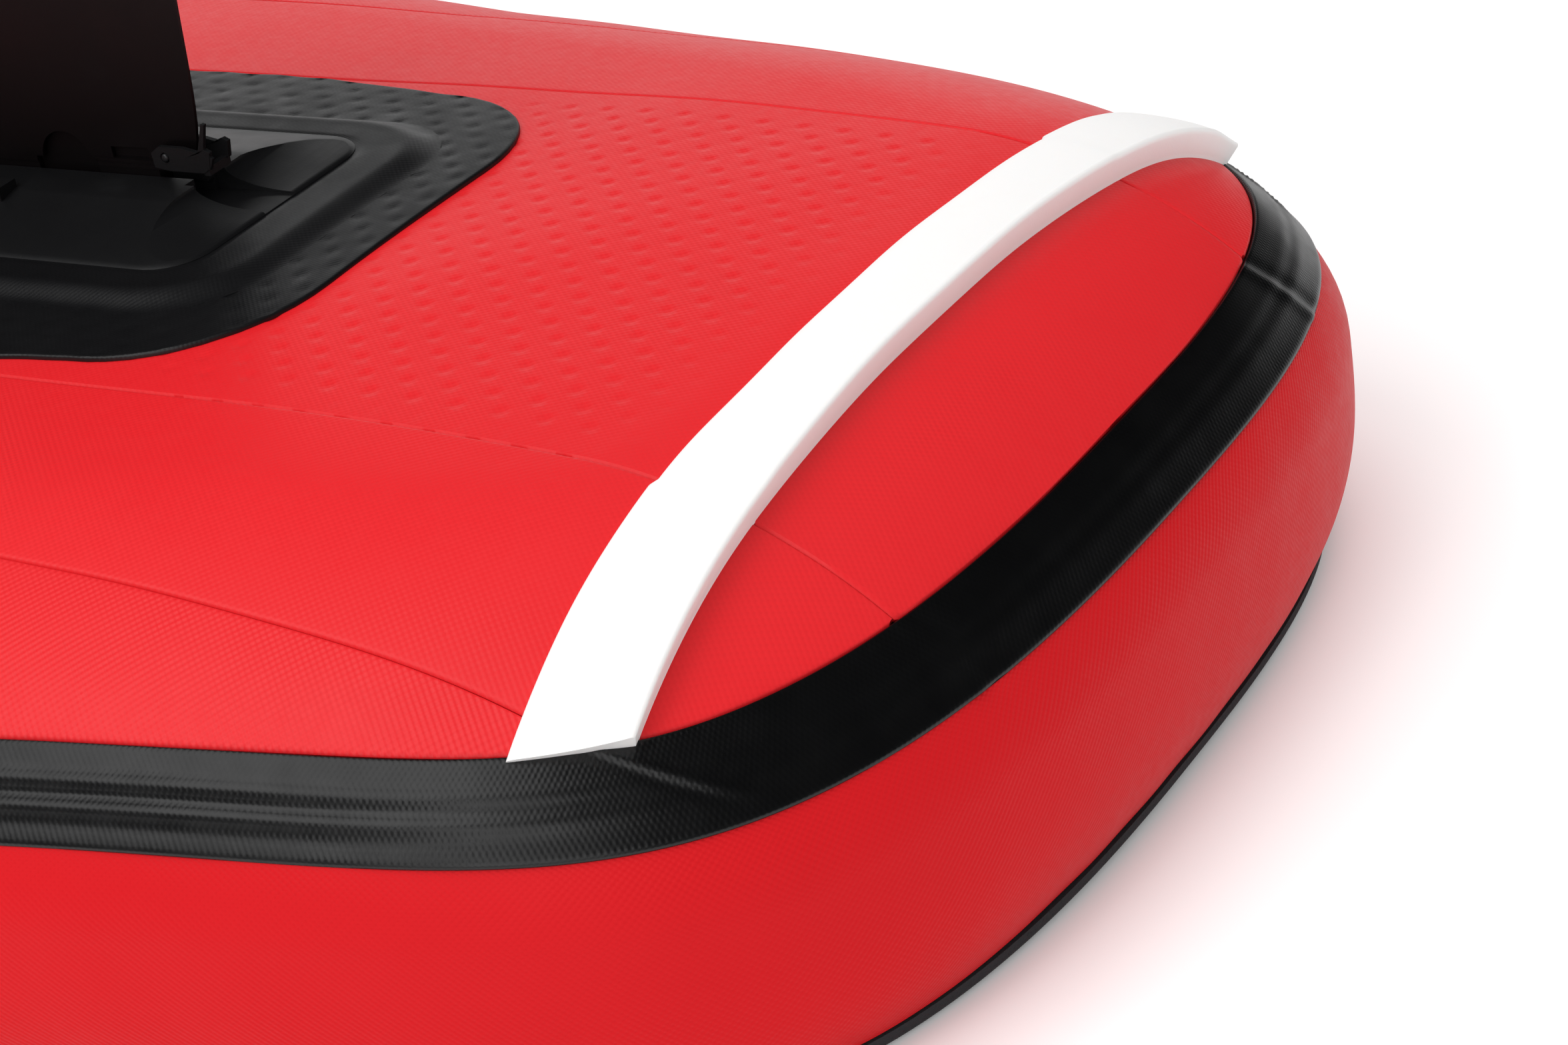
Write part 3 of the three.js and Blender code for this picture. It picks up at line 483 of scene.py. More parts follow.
def tube(shell, path, radius, sides=14, up=(1, 0, 0), closed=False, look=0):
    """Adds a round wire along a path. up is a direction that the path never takes."""
    path = np.asarray(path, float)
    if closed:
        tangent = np.roll(path, -1, axis=0) - np.roll(path, 1, axis=0)
    else:
        tangent = np.gradient(path, axis=0)
    tangent /= np.linalg.norm(tangent, axis=1)[:, None]
    across = np.cross(tangent, np.asarray(up, float))
    across /= np.linalg.norm(across, axis=1)[:, None]
    over = np.cross(across, tangent)
    angles = circle(sides)
    radius = np.broadcast_to(radius, len(path))
    ring = [
        p + r * (np.cos(angles)[:, None] * a + np.sin(angles)[:, None] * o)
        for p, a, o, r in zip(path, across, over, radius)
    ]
    if not closed:
        ring = [np.tile(path[0], (sides, 1)), *ring, np.tile(path[-1], (sides, 1))]
    arc = np.linspace(0, 1, len(ring))[:, None] * np.linalg.norm(np.diff(path, axis=0), axis=1).sum()
    places = np.stack([arc + 0 * angles, 0 * arc + angles * radius.max()], axis=-1)
    return loft(shell, ring, places, look, closed)


def make(name, made, looks, body, node, weld=None, sharp=40):
    """Makes a piece from a shell or a mesh, gives it its materials and ties it to the frame."""
    data = made.mesh(name, sharp, weld) if isinstance(made, Shell) else made
    turned = bmesh.new()
    turned.from_mesh(data)
    if turned.calc_volume(signed=True) < 0:
        data.flip_normals()
    turned.free()
    piece = bpy.data.objects.new(name, data)
    bpy.context.scene.collection.objects.link(piece)
    for look in looks:
        data.materials.append(look)
    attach(piece, body)
    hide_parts(node)
    return piece


def in_row(shell):
    """The shell's points moved from the board frame to the shared frame."""
    shell.points = [to_row(p) for p in shell.points]
    return shell


def solid_object(shell, weld=1e-7):
    """A temporary object for a boolean cut or join."""
    data = shell.mesh("work", weld=weld)
    work = bpy.data.objects.new("work", data)
    bpy.context.scene.collection.objects.link(work)
    return work


def combined(shell, others):
    """Joins or cuts the shell by (operation, shell) pairs and returns the mesh."""
    base = solid_object(shell)
    tools = [(operation, solid_object(tool)) for operation, tool in others]
    for operation, tool in tools:
        step = base.modifiers.new("step", "BOOLEAN")
        step.operation = operation
        step.solver = "EXACT"
        step.object = tool
    graph = bpy.context.evaluated_depsgraph_get()
    data = bpy.data.meshes.new_from_object(base.evaluated_get(graph))
    for work in [base, *(tool for _, tool in tools)]:
        old = work.data
        bpy.data.objects.remove(work)
        bpy.data.meshes.remove(old)
    return data


def finish_mesh(data, sharp=35, weld=2e-6):
    """Welds a cut mesh and shades it smooth up to the sharp angle."""
    work = bmesh.new()
    work.from_mesh(data)
    bmesh.ops.remove_doubles(work, verts=work.verts, dist=weld)
    bmesh.ops.dissolve_degenerate(work, dist=weld, edges=work.edges)
    work.to_mesh(data)
    work.free()
    data.polygons.foreach_set("use_smooth", [True] * len(data.polygons))
    data.set_sharp_from_angle(angle=math.radians(sharp))
    return data


def soften(piece, width, segments=3, angle=32):
    """Rounds a piece's hard edges."""
    edge = piece.modifiers.new("edges", "BEVEL")
    edge.width = width
    edge.segments = segments
    edge.limit_method = "ANGLE"
    edge.angle_limit = math.radians(angle)
    edge.harden_normals = False
    return piece


def block(low, high):
    """A box shell between two corners, for cutting and joining."""
    (x0, y0, z0), (x1, y1, z1) = low, high
    points = [(x, y, z) for z in (z0, z1) for x, y in ((x0, y0), (x1, y0), (x1, y1), (x0, y1))]
    faces = [(0, 3, 2, 1), (4, 5, 6, 7), (0, 1, 5, 4), (1, 2, 6, 5), (2, 3, 7, 6), (3, 0, 4, 7)]
    return Shell().add(points, faces)


def across_rod(radius, half, x, z, sides=48):
    """A round rod shell along Y, for cutting."""
    angles = circle(sides)
    return plate(np.stack([x + radius * np.cos(angles), z + radius * np.sin(angles)], axis=-1), -half, half)


def rounded_rectangle(low, high, half, radius, segments=12):
    """Plan outline between two x values: a rectangle with round corners, counterclockwise."""
    middle = (low + high) / 2
    reach = (high - low) / 2 - radius
    points = []
    for sx, sy, start in ((1, -1, -90), (1, 1, 0), (-1, 1, 90), (-1, -1, 180)):
        for k in range(segments + 1):
            angle = math.radians(start + 90 * k / segments)
            x = middle + sx * reach + radius * math.cos(angle)
            points.append((x, sy * (half - radius) + radius * math.sin(angle)))
    return np.array(points)


def resampled(outline, spacing):
    """A closed plan outline with evenly spaced points that mirror each other in y."""
    turned = np.roll(outline, -(len(outline) // 4), axis=0)
    tip = np.array([[outline[:, 0].max(), 0.0]])
    closed = np.vstack([tip, turned, tip])
    length = arc_lengths(closed)[-1]
    count = 2 * max(4, round(length / spacing / 2))
    return along_line(closed, np.arange(count) * length / count)


def moved_in(outline, inset):
    """A closed counterclockwise outline moved inwards."""
    tangent = np.roll(outline, -1, axis=0) - np.roll(outline, 1, axis=0)
    tangent /= np.hypot(*tangent.T)[:, None]
    return outline + inset * np.stack([-tangent[:, 1], tangent[:, 0]], axis=-1)


def towards_spine(outline, share, spine):
    """Outline points drawn towards a line along x from spine[0] to spine[1]."""
    target = np.stack([np.clip(outline[:, 0], *spine), 0 * outline[:, 1]], axis=-1)
    return outline + share * (target - outline)


# ---- Materials ----------------------------------------------------------
class Look:
    """A node material round one principled shader."""

    def __init__(self, name, color, roughness, metallic=0.0, specular=0.5):
        self.material = bpy.data.materials.new(name)
        self.material.use_nodes = True
        self.tree = self.material.node_tree
        self.shader = self.tree.nodes["Principled BSDF"]
        self.set("Base Color", (*color, 1))
        self.set("Roughness", roughness)
        self.set("Metallic", metallic)
        self.set("Specular IOR Level", specular)
        self.material.diffuse_color = (*color, 1)

    def set(self, socket, value):
        self.shader.inputs[socket].default_value = value

    def node(self, kind, **values):
        made = self.tree.nodes.new(kind)
        for name, value in values.items():
            setattr(made, name, value)
        return made

    def wire(self, source, target):
        if isinstance(source, (int, float)):
            target.default_value = source
        else:
            self.tree.links.new(source, target)

    def math(self, operation, *inputs, clamp=False):
        made = self.node("ShaderNodeMath", operation=operation, use_clamp=clamp)
        for value, socket in zip(inputs, made.inputs):
            self.wire(value, socket)
        return made.outputs[0]

    def range(self, value, low, high, to_low=0.0, to_high=1.0):
        made = self.node("ShaderNodeMapRange", interpolation_type="SMOOTHSTEP")
        for source, socket in zip((value, low, high, to_low, to_high), made.inputs):
            self.wire(source, socket)
        return made.outputs[0]

    def surface(self):
        """The two surface coordinates in metres."""
        place = self.node("ShaderNodeUVMap", uv_map="metres")
        split = self.node("ShaderNodeSeparateXYZ")
        self.wire(place.outputs[0], split.inputs[0])
        return split.outputs[0], split.outputs[1]

    def noise(self, size, detail=3.0, roughness=0.55, stretch=(1, 1, 1)):
        """Noise whose features are about size metres, from -1 to 1."""
        place = self.node("ShaderNodeTexCoord")
        scale = self.node("ShaderNodeMapping")
        scale.inputs["Scale"].default_value = [s / size for s in stretch]
        self.wire(place.outputs["Object"], scale.inputs[0])
        made = self.node("ShaderNodeTexNoise")
        made.inputs["Scale"].default_value = 1.0
        made.inputs["Detail"].default_value = detail
        made.inputs["Roughness"].default_value = roughness
        self.wire(scale.outputs[0], made.inputs["Vector"])
        return self.math("MULTIPLY_ADD", made.outputs[0], 2.0, -1.0)

    def weave(self, pitch_x, pitch_y):
        """Plain weave: humps and hollows in a checkerboard, from -1 to 1."""
        x, y = self.surface()
        a = self.math("SINE", self.math("MULTIPLY", x, math.pi / pitch_x))
        b = self.math("SINE", self.math("MULTIPLY", y, math.pi / pitch_y))
        return self.math("MULTIPLY", a, b)

    def bumps(self, *layers):
        """Each layer is a height and its size in metres."""
        previous = None
        for height, distance in layers:
            made = self.node("ShaderNodeBump")
            made.inputs["Strength"].default_value = 1.0
            made.inputs["Distance"].default_value = distance
            self.wire(height, made.inputs["Height"])
            if previous is not None:
                self.wire(previous, made.inputs["Normal"])
            previous = made.outputs[0]
        self.wire(previous, self.shader.inputs["Normal"])

    def color(self, *steps):
        """Base colour mixed in turn: (first colour) then (factor, colour) pairs."""
        current = None
        for factor, color in steps:
            if current is None:
                current = color
                continue
            mix = self.node("ShaderNodeMix", data_type="RGBA")
            self.wire(factor, mix.inputs[0])
            if isinstance(current, tuple):
                mix.inputs[6].default_value = (*current, 1)
            else:
                self.wire(current, mix.inputs[6])
            mix.inputs[7].default_value = (*color, 1)
            current = mix.outputs[2]
        self.wire(current, self.shader.inputs["Base Color"])

    def roughness(self, value, low, high):
        self.wire(self.range(value, -1.0, 1.0, low, high), self.shader.inputs["Roughness"])


YARN = (0.0013, 0.0012)
RED = (0.72, 0.0125, 0.0175)
DEEP_RED = (0.60, 0.0065, 0.0105)
PALE_RED = (0.78, 0.024, 0.030)


def red_fabric(name, weave_height, pit_bump=0.0, specular=0.28, strength=1.0):
    """Coated satin fabric with its weave showing through."""
    # A strength under 1 scales every red darker. This is painted shade, and the wall uses it.
    red, deep, pale = (tuple(strength * c for c in color) for color in (RED, DEEP_RED, PALE_RED))
    look = Look(name, red, 0.42, specular=specular)
    weave = look.weave(*YARN)
    blotch = look.noise(0.05, 4)
    fine = look.noise(0.004, 3)
    # The weave's hollows are mixed towards the deep red: painted shade in the hollows.
    painted_hollow_shade = look.range(weave, -1.0, -0.2, 1.0, 0.0)
    look.color(
        (None, red),
        (look.range(blotch, 0.0, 0.9, 0.0, 0.16), pale),
        (look.range(blotch, 0.0, -0.9, 0.0, 0.25), deep),
        (look.math("MULTIPLY", painted_hollow_shade, 0.22), deep),
    )
    look.roughness(fine, 0.36, 0.50)
    relief = look.range(look.noise(0.03, 2), -0.8, 0.8, 0.55, 1.0)
    layers = [
        (look.math("MULTIPLY", weave, relief), weave_height),
        (fine, 0.00002),
        (blotch, 0.00012),
    ]
    if pit_bump:
        x, y = look.surface()
        a = look.math("COSINE", look.math("MULTIPLY", x, math.tau / PIT_SPACING[0]))
        b = look.math("COSINE", look.math("MULTIPLY", y, math.tau / PIT_SPACING[1]))
        pit = look.range(look.math("MULTIPLY", a, b), 0.35, 1.0, 1.0, 0.0)
        forward = look.range(x, -0.36, -0.44)
        layers.append((look.math("MULTIPLY", pit, forward), pit_bump))
    look.bumps(*layers)
    return look.material


def black_coated(name, color, roughness, weave_height, specular=0.45, wide=(0.001, 0.0011)):
    """Black coated fabric, satin, with scuffs that dull it."""
    look = Look(name, color, roughness, specular=specular)
    weave = look.weave(*wide)
    scuff = look.noise(0.018, 5, 0.65)
    fine = look.noise(0.0012, 2)
    lighter = tuple(2.0 * c + 0.0012 for c in color)
    look.color((None, color), (look.range(scuff, 0.25, 1.0, 0.0, 0.5), lighter))
    look.roughness(scuff, roughness - 0.07, roughness + 0.1)
    strength = look.range(look.noise(0.05, 2), -0.8, 0.8, 0.35, 1.0)
    look.bumps((look.math("MULTIPLY", weave, strength), weave_height), (fine, 0.00001), (scuff, 0.00005))
    return look.material


def moulded(name, color, roughness, grain=0.0007, depth=0.00002, specular=0.5):
    """Moulded plastic with a fine grain and faint rubbed places."""
    look = Look(name, color, roughness, specular=specular)
    speckle = look.noise(grain, 2, 0.7)
    rub = look.noise(0.025, 4, 0.6)
    lighter = tuple(min(1.0, 1.9 * c + 0.002) for c in color)
    look.color((None, color), (look.range(rub, 0.1, 1.0, 0.0, 0.6), lighter))
    look.roughness(rub, roughness - 0.06, roughness + 0.09)
    look.bumps((speckle, depth), (rub, 0.00004))
    return look.material


def white_rubber(name):
    """White satin strip, a little warm where it is rubbed."""
    white, rubbed = (0.90, 0.885, 0.875), (0.87, 0.83, 0.81)
    look = Look(name, white, 0.45, specular=0.4)
    rub = look.noise(0.02, 4, 0.6)
    speckle = look.noise(0.0009, 2, 0.6)
    look.color((None, white), (look.range(rub, 0.0, 1.0, 0.0, 0.5), rubbed))
    look.roughness(rub, 0.38, 0.54)
    look.set("Subsurface Weight", 0.12)
    look.set("Subsurface Radius", (0.004, 0.003, 0.0025))
    look.bumps((speckle, 0.00002), (rub, 0.00005))
    return look.material


def foam_look(name, color=(0.030, 0.031, 0.034)):
    """Closed-cell foam: matt, with small pores."""
    look = Look(name, color, 0.9, specular=0.25)
    pores = look.noise(0.0011, 2, 0.8)
    patch = look.noise(0.04, 3)
    # The pores are mixed towards a much darker colour: painted shade in the pits.
    pore_shade = look.range(pores, -0.1, -0.5)
    look.color(
        (None, color),
        (look.math("MULTIPLY", pore_shade, 0.7), tuple(0.35 * c for c in color)),
        (look.range(patch, 0.0, 1.0, 0.0, 0.4), tuple(1.5 * c for c in color)),
    )
    look.roughness(patch, 0.82, 0.95)
    look.bumps((pores, 0.00018), (patch, 0.0002))
    return look.material


def webbing_look(name, color=(0.018, 0.018, 0.020)):
    """Woven strap: a coarse basket weave of matt yarn."""
    look = Look(name, color, 0.8, specular=0.3)
    weave = look.weave(0.0014, 0.0011)
    fuzz = look.noise(0.0008, 3, 0.7)
    light = tuple(2.2 * c for c in color)
    # The weave's humps are mixed towards a lighter colour: painted highlight on the humps, which leaves the
    # hollows darker.
    look.color((None, color), (look.range(weave, 0.1, 1.0, 0.0, 0.7), light))
    look.roughness(fuzz, 0.7, 0.9)
    look.set("Sheen Weight", 0.15)
    look.bumps((weave, 0.00022), (fuzz, 0.00005))
    return look.material


def steel_look(name):
    """Stainless wire, polished, with fine draw marks."""
    steel, dull = (0.62, 0.62, 0.61), (0.50, 0.50, 0.50)
    look = Look(name, steel, 0.2, metallic=1.0)
    marks = look.noise(0.0006, 3, 0.6, stretch=(1, 0.08, 0.08))
    cloud = look.noise(0.01, 3)
    look.color((None, steel), (look.range(cloud, 0.0, 1.0, 0.0, 0.5), dull))
    look.roughness(cloud, 0.14, 0.32)
    look.bumps((marks, 0.000006))
    return look.material


def thread_look(name):
    """Bonded sewing thread with its twist."""
    dark, light = (0.05, 0.05, 0.052), (0.10, 0.10, 0.105)
    look = Look(name, dark, 0.6, specular=0.35)
    twist = look.noise(0.0005, 1, 0.5, stretch=(1, 1, 0.4))
    look.color((None, dark), (look.range(twist, 0.0, 1.0, 0.0, 1.0), light))
    look.bumps((twist, 0.00004))
    return look.material


def core_look(name):
    """Raw drop-stitch fabric with its threads."""
    raw, shaded = (0.45, 0.42, 0.38), (0.33, 0.30, 0.27)
    look = Look(name, raw, 0.9, specular=0.2)
    cloth = look.noise(0.0015, 3, 0.7)
    look.color((None, raw), (look.range(cloth, -0.5, 0.8, 0.0, 0.6), shaded))
    look.bumps((cloth, 0.0001))
    return look.material


RAIL_RED = red_fabric("rail_red", 0.00011)
SIDE_RED = red_fabric("side_red", 0.00005)
CENTER_RED = red_fabric("center_red", 0.00004, pit_bump=0.0004)
# The wall is the same red fabric scaled darker by strength: painted shade on the wall.
WALL_RED_SHADED = red_fabric("wall_red_shaded", 0.00009, specular=0.06, strength=0.83)
TAPE_BLACK = black_coated("tape_black", (0.0026, 0.0026, 0.0029), 0.33, 0.00004, specular=0.42)
DECK_BLACK = black_coated("deck_black", (0.010, 0.010, 0.011), 0.5, 0.00005)
PATCH_BLACK = black_coated("patch_black", (0.0045, 0.0045, 0.0052), 0.42, 0.00003, specular=0.5)
BOX_BLACK = moulded("box_black", (0.0052, 0.0052, 0.0058), 0.42, specular=0.36)
FIN_BLACK = moulded("fin_black", (0.0028, 0.0018, 0.0020), 0.42, grain=0.0012, depth=0.00001, specular=0.16)
VALVE_BLACK = moulded("valve_black", (0.012, 0.012, 0.013), 0.4)
STRIP_WHITE = white_rubber("strip_white")
FOAM_DARK = foam_look("foam_dark")
STRAP_BLACK = webbing_look("strap_black")
STEEL = steel_look("steel_wire")
DARK_STEEL = moulded("blackened_steel", (0.010, 0.010, 0.011), 0.35, specular=0.5)
THREAD = thread_look("thread_grey")
RUBBER = moulded("rubber_black", (0.010, 0.010, 0.010), 0.72, grain=0.0005, depth=0.00003, specular=0.3)
CORE = core_look("core_fabric")


# ---- Bottom skin --------------------------------------------------------
def skin_z(x, y):
    """Small relief of the bottom skin: thread pits, strongest between the strip and the fin patch."""
    behind_strip = smooth(-0.118, -0.150, x)
    under_patch = 1 - 0.75 * smooth(-0.275, -0.33, x)
    return -PIT_DEPTH * pits(x, y) * behind_strip * under_patch


def layer_rows(low, steps):
    """Rows across one layer of the bottom skin: plan x and the tape's half width there."""
    side = side_outline(steps)
    x = side["x"] - side["nx"] * LAYER_INSET
    limit = side["y"] - side["ny"] * LAYER_INSET
    good = limit > low + 0.0004
    order = np.concatenate([[True], np.diff(x) < -1e-9])
    good &= order
    return x[good], limit[good]


def edge_roll(distance, radius=0.0009):
    """How far a layer's surface drops at the given distance from its free edge."""
    return radius * (1 - np.sqrt(np.clip(1 - (1 - np.clip(distance / radius, 0, 1)) ** 2, 0, 1)))


def bottom_layer(low, high, side, columns, steps, relief=None):
    """One layer of the bottom skin between two half widths, out to the tape."""
    xs, limits = layer_rows(max(low, 0.0), steps)
    shares = np.concatenate([[0, 0.3, 0.8, 1.6], np.linspace(4, 96, columns), [98.4, 99.2, 99.7, 100]]) / 100
    outer, inner, places = [], [], []
    for x, limit in zip(xs, limits):
        end = min(high, limit)
        if low < 0:
            y = end * (2 * shares - 1)
            from_edge = end - np.abs(y)
        else:
            y = side * (low + (end - low) * shares)
            from_edge = np.minimum(np.abs(y) - low, end - np.abs(y))
        top = bottom_points(x, y, 0.0)
        top[:, 2] -= edge_roll(from_edge)
        top[:, 2] += 0.00022 * ripple(x, y, 0.11, 5)
        if relief is not None:
            top[:, 2] += relief(x, y)
        outer.append(top)
        inner.append(bottom_points(x, y, -SKIN) - np.array([0, 0, 0.0009]))
        places.append(np.stack([x + 0 * y, y], axis=-1))
    return in_row(closed_sheet(Shell(), np.stack(outer), np.stack(inner), np.stack(places)))


def bottom_skin():
    center_steps = [(0.22, 0.004), (0.60, 0.00125), (1.0, 0.003), (9, 0.010)]
    outer_steps = [(0.12, 0.006), (0.9, 0.0025), (9, 0.010)]
    center = bottom_layer(-1.0, SEAMS[0], 1, 160, center_steps, skin_z)
    make("center_panel", center, [CENTER_RED], "board", "bottom_center_layer")
    for word, side in (("left", -1), ("right", 1)):
        panel = bottom_layer(SEAMS[0] + GAP, SEAMS[1], side, 26, outer_steps)
        make(f"side_panel_{word}", panel, [SIDE_RED], "board", f"bottom_side_layer_{word}")
        panel = bottom_layer(SEAMS[1] + GAP, MID_HALF_WIDTH, side, 34, outer_steps)
        make(f"rail_panel_{word}", panel, [RAIL_RED], "board", f"bottom_rail_layer_{word}")


def arc_at(x):
    """Arc length along the outline from the tail's middle to where a side is at x."""
    return float(np.interp(-x, -MEASURE["x"], MEASURE["arc"]))


TAPE_THICKNESS = 0.0008
TAPE_LAP_RISE = 0.0003
# Long ridges in the tape: height, place across it from 0 inside to 1 outside, and width.
TAPE_RIDGES = ((0.00085, 0.40, 0.075), (0.00095, 0.66, 0.065), (-0.00055, 0.53, 0.05), (-0.00030, 0.80, 0.06))
TAPE_SPLICE_ARC = (-0.655, -0.658)


def seam_tape():
    """The black tape over the seam between the bottom skin and the wall."""
    loop = whole_outline(OUTLINE_STEPS)
    share = np.concatenate([[0, 0.01, 0.03, 0.06], np.linspace(0.1, 0.9, 22), [0.94, 0.97, 0.99, 1.0]])
    inset = (TAPE_INSETS[0] + (TAPE_INSETS[1] - TAPE_INSETS[0]) * share)[None, :]
    arc = loop["arc"][:, None]
    from_edge = np.minimum(share, 1 - share) * (TAPE_INSETS[0] - TAPE_INSETS[1])
    height = TAPE_THICKNESS - edge_roll(from_edge, 0.0007)[None, :]
    height = height + TAPE_LAP_RISE * smooth(TAPE_LAP + 0.002, TAPE_LAP - 0.001, inset)
    along_sides = smooth(0.22, 0.36, np.abs(arc))
    ridges = sum(rise * bump(share, place, width) for rise, place, width in TAPE_RIDGES)
    height = height + ridges[None, :] * (0.12 + 0.88 * along_sides)
    height = height + 0.00022 * ripple(arc, 0 * inset + share * 0.03, 0.055, 11)
    for side in (-1, 1):
        seam_under = side * (SEAMS[0] + 0.004) + 0.010 * (share - 0.5)
        height = height + 0.0006 * bump(arc, seam_under, 0.0035)
        height = height - 0.0004 * bump(arc, seam_under + 0.008, 0.004)
    for side in (-1, 1):
        strip_corner = side * arc_at(EDGE_WIDTH - EDGE_FRONT + 0.012)
        crease = strip_corner - side * 0.055 * share
        fade = smooth(0.9, 0.6, share) * smooth(0.0, 0.05, share)
        height = height + 0.0007 * fade * bump(arc, crease, 0.0022)
        height = height - 0.0005 * fade * bump(arc, crease + side * 0.006, 0.003)
    height = height + 0.0005 * smooth(*TAPE_SPLICE_ARC, arc)
    outer = upper_rail(loop, inset + 0 * arc, height)
    under = np.where(inset < TAPE_LAP, TAPE_LAP_RISE, -SKIN)
    inner = upper_rail(loop, inset + 0 * arc, under + 0 * height)
    places = np.stack([arc + 0 * inset, inset + 0 * arc], axis=-1)
    shell = closed_sheet(Shell(), outer, inner, places, wrap=True)
    make("seam_tape", in_row(shell), [TAPE_BLACK], "board", "bottom_seam_tape")


def side_wall():
    """The red band round the edge, from under the tape down to the deck."""
    loop = whole_outline(OUTLINE_STEPS)
    insets = np.array([0.0087, 0.0075, 0.006, 0.0045, 0.003, 0.0018, 0.0008, 0.0002])
    fractions = np.concatenate([np.linspace(0, 0.97, 30), [WALL_END]])
    arc = loop["arc"][:, None]
    down = np.concatenate([np.linspace(-0.03, -0.004, len(insets)), fractions * LOWER_HEIGHT])
    wave = 0.00025 * ripple(arc, down[None, :], 0.13, 21)
    wave = wave + 0.00012 * ripple(arc, down[None, :] * 0.4, 0.045, 22)
    cut = len(insets)
    fade = smooth(0, 0.01, down + 0.03)[None, :]
    faces = []
    for grow in (wave * fade, np.full_like(wave, -SKIN)):
        upper = upper_rail(loop, insets[None, :] + 0 * arc, grow[:, :cut])
        lower = lower_rail(loop, fractions[None, :] + 0 * arc, grow[:, cut:])
        faces.append(np.concatenate([upper, lower], axis=1))
    places = np.stack([arc + 0 * down, down[None, :] + 0 * arc], axis=-1)
    shell = closed_sheet(Shell(), *faces, places, wrap=True)
    make("wall_panel", in_row(shell), [WALL_RED_SHADED], "board", "side_wall")


# ---- Deck side ----------------------------------------------------------
LEASH_U = 0.33
HANDLE_U = 1.5
VALVE_U = 2.5
VALVE_HOLE = 0.022
CARGO_U = (2.3, 2.65)
CARGO_Y = 0.175
TOW_U = 2.96
PAD_HOLES = (
    (-LEASH_U - 0.034, -LEASH_U + 0.034, 0.034),
    (-HANDLE_U - 0.175, -HANDLE_U + 0.175, 0.032),
)


def rows_of_x(*stops):
    """x values from tail to nose through every stop, at most 12 mm apart."""
    values = [stops[0]]
    for stop in stops[1:]:
        count = max(1, math.ceil(abs(stop - values[-1]) / 0.012))
        values.extend(np.linspace(values[-1], stop, count + 1)[1:])
    return np.array(values)


def inset_limit(inset, x):
    """Half width of the outline moved in by inset, at x."""
    side = side_outline([(9, 0.004)])
    ox = side["x"] - side["nx"] * inset
    oy = side["y"] - side["ny"] * inset
    good = np.concatenate([[True], np.diff(ox) < -1e-9])
    return np.interp(-x, -ox[good], oy[good])


def deck_skin():
    """The black skin of the deck, with the valve's hole through it."""
    inset = WALL_TUCK + 0.0006
    reach = side_outline([(9, 0.010)])
    xs = (reach["x"] - reach["nx"] * inset)[1:-1]
    limit = (reach["y"] - reach["ny"] * inset)[1:-1]
    ys = limit[:, None] * np.linspace(-1, 1, 61)[None, :]
    grid = [deck_points(xs[:, None] + 0 * ys, ys, drop) for drop in (0.0, -SKIN)]
    center = (grid[0][:-1, :-1] + grid[0][1:, 1:]) / 2
    keep = np.hypot(center[..., 0] + VALVE_U, center[..., 1]) > VALVE_HOLE
    shell = closed_sheet(Shell(), *grid, keep=keep)
    make("deck_cloth", in_row(shell), [DECK_BLACK], "board", "deck_skin")


GROOVE_SPACING = 0.024
GROOVE_HALF = 0.0009
GROOVE_DEPTH = 0.0017
GROOVE_FLANK = 0.0006
GROOVES_PER_SIDE = 16
PAD_BORDER = 0.012


